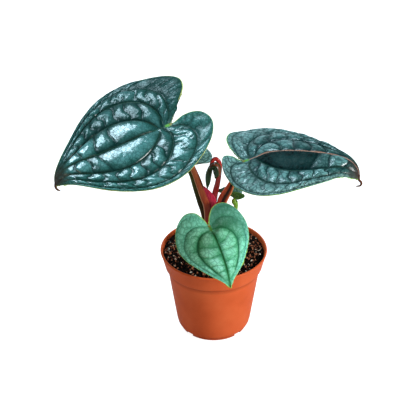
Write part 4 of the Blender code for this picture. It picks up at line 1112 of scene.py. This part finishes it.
TEAL_LOOK = {
    "deep": (0.002, 0.02, 0.017), "body": (0.016, 0.078, 0.068), "crest": (0.058, 0.185, 0.18),
    "pillow_change": 0.5, "vein": (0.06, 0.15, 0.08), "groove_mm": 1.7, "groove": 0.9,
    "outer_groove": 0.9, "cross_mm": 1.1, "cross": 0.8, "line_share": 0.3,
    "midrib": (0.012, 0.05, 0.03), "midrib_mm": 1.0, "margin": (0.034, 0.15, 0.1), "margin_mm": 8.0,
    "heart": (0.12, 0.34, 0.05), "heart_mm": 7.5, "lobe": (0.05, 0.185, 0.165), "lobe_share": 0.3,
    "edge": (0.55, 0.62, 0.22), "edge_mm": 1.2, "tip_mm": 22.0, "mesh": 4.2, "line": 0.12, "net": 0.55,
    "roughness": 0.42, "specular": 0.04, "coat": 1.0, "coat_roughness": 0.18, "coat_ior": 1.76,
    "relief": 0.0004,
}
GREY_LOOK = {
    **TEAL_LOOK, "deep": (0.003, 0.022, 0.022), "body": (0.024, 0.086, 0.078), "crest": (0.105, 0.24, 0.23),
    "lobe": (0.22, 0.38, 0.35), "lobe_share": 0.55, "midrib": (0.45, 0.24, 0.18), "midrib_mm": 0.9,
    "edge": (0.3, 0.52, 0.09), "margin": (0.05, 0.22, 0.1), "margin_mm": 5.0, "specular": 0.03,
    "coat_ior": 1.55, "mesh": 5.5, "line": 0.15, "net": 0.75,
}
MINT_LOOK = {
    **TEAL_LOOK, "deep": (0.026, 0.18, 0.075), "body": (0.115, 0.43, 0.22), "crest": (0.27, 0.7, 0.46),
    "pillow_change": 0.12, "vein": (0.05, 0.26, 0.08), "groove_mm": 3.0, "groove": 0.4,
    "outer_groove": 0.35, "cross_mm": 1.2, "cross": 0.3, "line_share": 0.2,
    "midrib": (0.02, 0.12, 0.03), "midrib_mm": 1.4, "margin": (0.15, 0.5, 0.17), "margin_mm": 4.0,
    "heart": (0.1, 0.3, 0.05), "heart_mm": 9.0, "lobe": (0.23, 0.72, 0.56), "lobe_share": 0.7,
    "edge": (0.42, 0.62, 0.1), "tip_mm": 4.0, "mesh": 5.0, "line": 0.14, "net": 0.5,
    "roughness": 0.38, "coat": 0.9, "coat_roughness": 0.34, "coat_ior": 1.5, "relief": 0.0003,
}
# A darker copy of the grey skin for the two small blades at the back: its darker colours and dark edge are
# painted shade.
SHADED_GREY_LOOK = {
    **GREY_LOOK, "deep": (0.01, 0.04, 0.02), "body": (0.045, 0.13, 0.08), "crest": (0.09, 0.2, 0.14),
    "edge": (0.05, 0.08, 0.02), "margin": (0.04, 0.12, 0.06), "specular": 0.1, "coat": 0.2,
    "coat_ior": 1.5,
}
teal_skin = blade_material("teal_skin", TEAL_LOOK)
grey_skin = blade_material("grey_skin", GREY_LOOK)
mint_skin = blade_material("mint_skin", MINT_LOOK)
shaded_grey_skin = blade_material("shaded_grey_skin", SHADED_GREY_LOOK)
pale_under = under_material("pale_under", (0.13, 0.2, 0.13), (0.3, 0.34, 0.18))
mint_under = under_material("mint_under", (0.2, 0.38, 0.22), (0.32, 0.48, 0.2))
# A darker copy of the underside, its darkness painted shade.
shaded_under = under_material("shaded_under", (0.05, 0.17, 0.045), (0.16, 0.36, 0.06))

# Per blade: how finely it is divided, how far it puffs, its skins, how shallow the valleys across a band are,
# how high the wrinkles are in metres, where the side veins of each half run (0 is the midrib and 1 the
# margin), where cross veins part the pillows (0 is the stalk and 1 the tip), and which bands get painted
# shade, from where to where and how deep.
EVEN_VEINS = {"left_half": (0, 0.35, 0.56, 0.74, 1), "right_half": (0, 0.35, 0.56, 0.74, 1)}
BLADES = {
    "left": {
        "rows": 230, "puff_mm": 4, "skin": teal_skin, "under": pale_under, "slot": "dark_leaf", "seed": 4,
        "valley": 0.15, "wrinkles": 0.0009,
        "veins": {"left_half": (0, 0.35, 0.55, 0.74, 1), "right_half": (0, 0.33, 0.56, 0.7, 1)},
        "pillows": {
            "left_half": ((0.56, 0.68, 0.79, 0.9), (0.2, 0.3, 0.39, 0.48, 0.57, 0.66, 0.75, 0.84, 0.93)),
            "right_half": ((0.4, 0.56, 0.72, 0.86), (0.18, 0.28, 0.37, 0.46, 0.55, 0.64, 0.74, 0.85)),
        },
        "shades": [("right_half", band, -0.4, 1.4, depth)
                   for band, depth in ((1, 0.35), (2, 0.45), (3, 0.6))],
    },
    "right": {
        "rows": 230, "puff_mm": 3.5, "skin": grey_skin, "under": pale_under, "slot": "dark_leaf", "seed": 21,
        "valley": 0.15, "wrinkles": 0.0009,
        "veins": {"left_half": (0, 0.37, 0.57, 0.8, 1), "right_half": (0, 0.35, 0.57, 0.8, 1)},
        "pillows": {
            "left_half": ((0.22, 0.36, 0.5, 0.64, 0.8), (0.15, 0.27, 0.39, 0.51, 0.64, 0.8)),
            "right_half": ((0.57, 0.7, 0.84), (0.16, 0.26, 0.35, 0.44, 0.53, 0.62, 0.72, 0.84)),
        },
        "shades": [("right_half", 0, -0.2, 0.8, 1), ("left_half", 0, -0.2, 0.2, 0.5)]
        + [("left_half", band, -0.4, 1.4, 0.22) for band in (0, 1, 2, 3)],
    },
    "front": {
        "rows": 150, "puff_mm": 2.7, "skin": mint_skin, "under": mint_under, "slot": "mint_leaf", "seed": 33,
        "valley": 0.55, "wrinkles": 0.0004, "gains": (1, 0.55, 0.35, 0.2),
        "veins": {"left_half": (0, 0.46, 0.68, 0.85, 1), "right_half": (0, 0.45, 0.66, 0.83, 1)},
        "pillows": {
            "left_half": ((0.24, 0.4, 0.57, 0.71, 0.86), (0.25, 0.42, 0.6, 0.8)),
            "right_half": ((0.3, 0.45, 0.63, 0.74, 0.88), (0.22, 0.4, 0.6, 0.78)),
        },
        "shades": [("left_half", band, -0.2, 0.5, 0.62) for band in (1, 2, 3)],
    },
    "back_left": {
        "rows": 120, "puff_mm": 1.3, "skin": shaded_grey_skin, "under": pale_under, "slot": "dark_leaf", "seed": 47,
        "valley": 0.15, "wrinkles": 0.0004, "veins": EVEN_VEINS,
        "pillows": dict.fromkeys(("left_half", "right_half"), ((0.3, 0.5, 0.7), (0.3, 0.5, 0.7))),
    },
    "back_right": {
        "rows": 70, "puff_mm": 0.25, "skin": shaded_grey_skin, "under": shaded_under, "slot": "dark_leaf",
        "seed": 58, "valley": 0.15, "wrinkles": 0.0004, "veins": EVEN_VEINS,
        "pillows": dict.fromkeys(("left_half", "right_half"), ((0.4, 0.7), (0.4, 0.7))),
    },
}
BLADE_THICKNESS = 0.0008
for key, blade in BLADES.items():
    sheet = blade_sheet("blade_" + key, LEAVES[key], blade)
    use_tree(sheet, quilting, {
        "Valley share": blade["valley"], "Wrinkle height": blade["wrinkles"], "Seed": blade["seed"],
        "Material": blade["skin"],
    })
    settle(sheet)
    sheet.data.materials.clear()
    sheet.data.materials.append(blade["skin"])
    sheet.data.materials.append(blade["under"])
    thicken(sheet, BLADE_THICKNESS, material_offset=1)
    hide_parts("leaf_" + key)
    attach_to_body(sheet, "root")


# The drip tips: the midrib of each large blade runs on past its end as a dry brown hook.

dry_brown = stalk_material("dry_brown", (0.06, 0.02, 0.012), (0.1, 0.03, 0.012), (0.14, 0.05, 0.018),
                           (0.2, 0.08, 0.03), (0.05, 0.014, 0.008), roughness=0.45)
DRIP_TIP_RADII_MM = (0.9, 1.3, 1.35, 1.2, 1.0, 0.5)
DRIP_TIP_STEPS_MM = {
    "left": ((0.3, 0, -1.8), (1, 0, -3.8), (2.7, 0, -5.4), (4.9, 0, -5.9)),
    "right": ((2, 0, -2.4), (2.9, 0, -5), (1.3, 0, -7.6), (-2.8, 0, -8.1)),
}
for key, steps in DRIP_TIP_STEPS_MM.items():
    end = bent_place(LEAVES[key], 1, np.array([0.97, 0.995]), np.zeros(2))
    points = [tuple(end[0]), tuple(end[1])] + [tuple(end[1] + np.array(step)) for step in steps]
    hook = sweep("drip_tip_" + key, points, DRIP_TIP_RADII_MM, steps=40, values={
        "Sides": 16, "Rib depth": 0.04, "Material": dry_brown,
    })
    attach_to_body(hook, "root")


# The young leaf: its dark blade is still rolled up lengthwise and hangs from the hook of its stalk, with
# the end of one lobe coming loose beside it.

YOUNG_ROLL_MM = ((-3.35, -1.05, 209.4), (-4.4, -1.7, 204.5), (-5.9, -2.4, 198), (-6.6, -3.4, 189.5),
                 (-7.3, -4.2, 181.6))
YOUNG_ROLL_RADII_MM = (1.6, 3.2, 3.8, 3, 0.5)
YOUNG_LOBE_MM = ((-4.4, -2.4, 204), (-1.6, -5.2, 209.6), (2, -5.8, 210.4), (3.6, -6.6, 203),
                 (1.6, -6, 196.2))
YOUNG_LOBE_RADII_MM = (1.6, 3.4, 4.4, 4.6, 1.2)
rolled_green = stalk_material(
    "rolled_green", (0.024, 0.045, 0.01), (0.012, 0.034, 0.01), (0.02, 0.045, 0.012), (0.2, 0.04, 0.02),
    (0.22, 0.3, 0.24), roughness=0.3, coat=0.3)
rolled_shape = {"Ribs": 2.0, "Rib depth": 0.12, "Groove": 0.3, "Groove width": 0.3, "Material": rolled_green}
young_roll = sweep("young_roll", YOUNG_ROLL_MM, YOUNG_ROLL_RADII_MM, steps=60, values=rolled_shape)
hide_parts("leaf_young")
young_lobe = sweep("young_lobe", YOUNG_LOBE_MM, YOUNG_LOBE_RADII_MM, steps=50, values=rolled_shape)
for piece in (young_roll, young_lobe):
    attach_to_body(piece, "root")
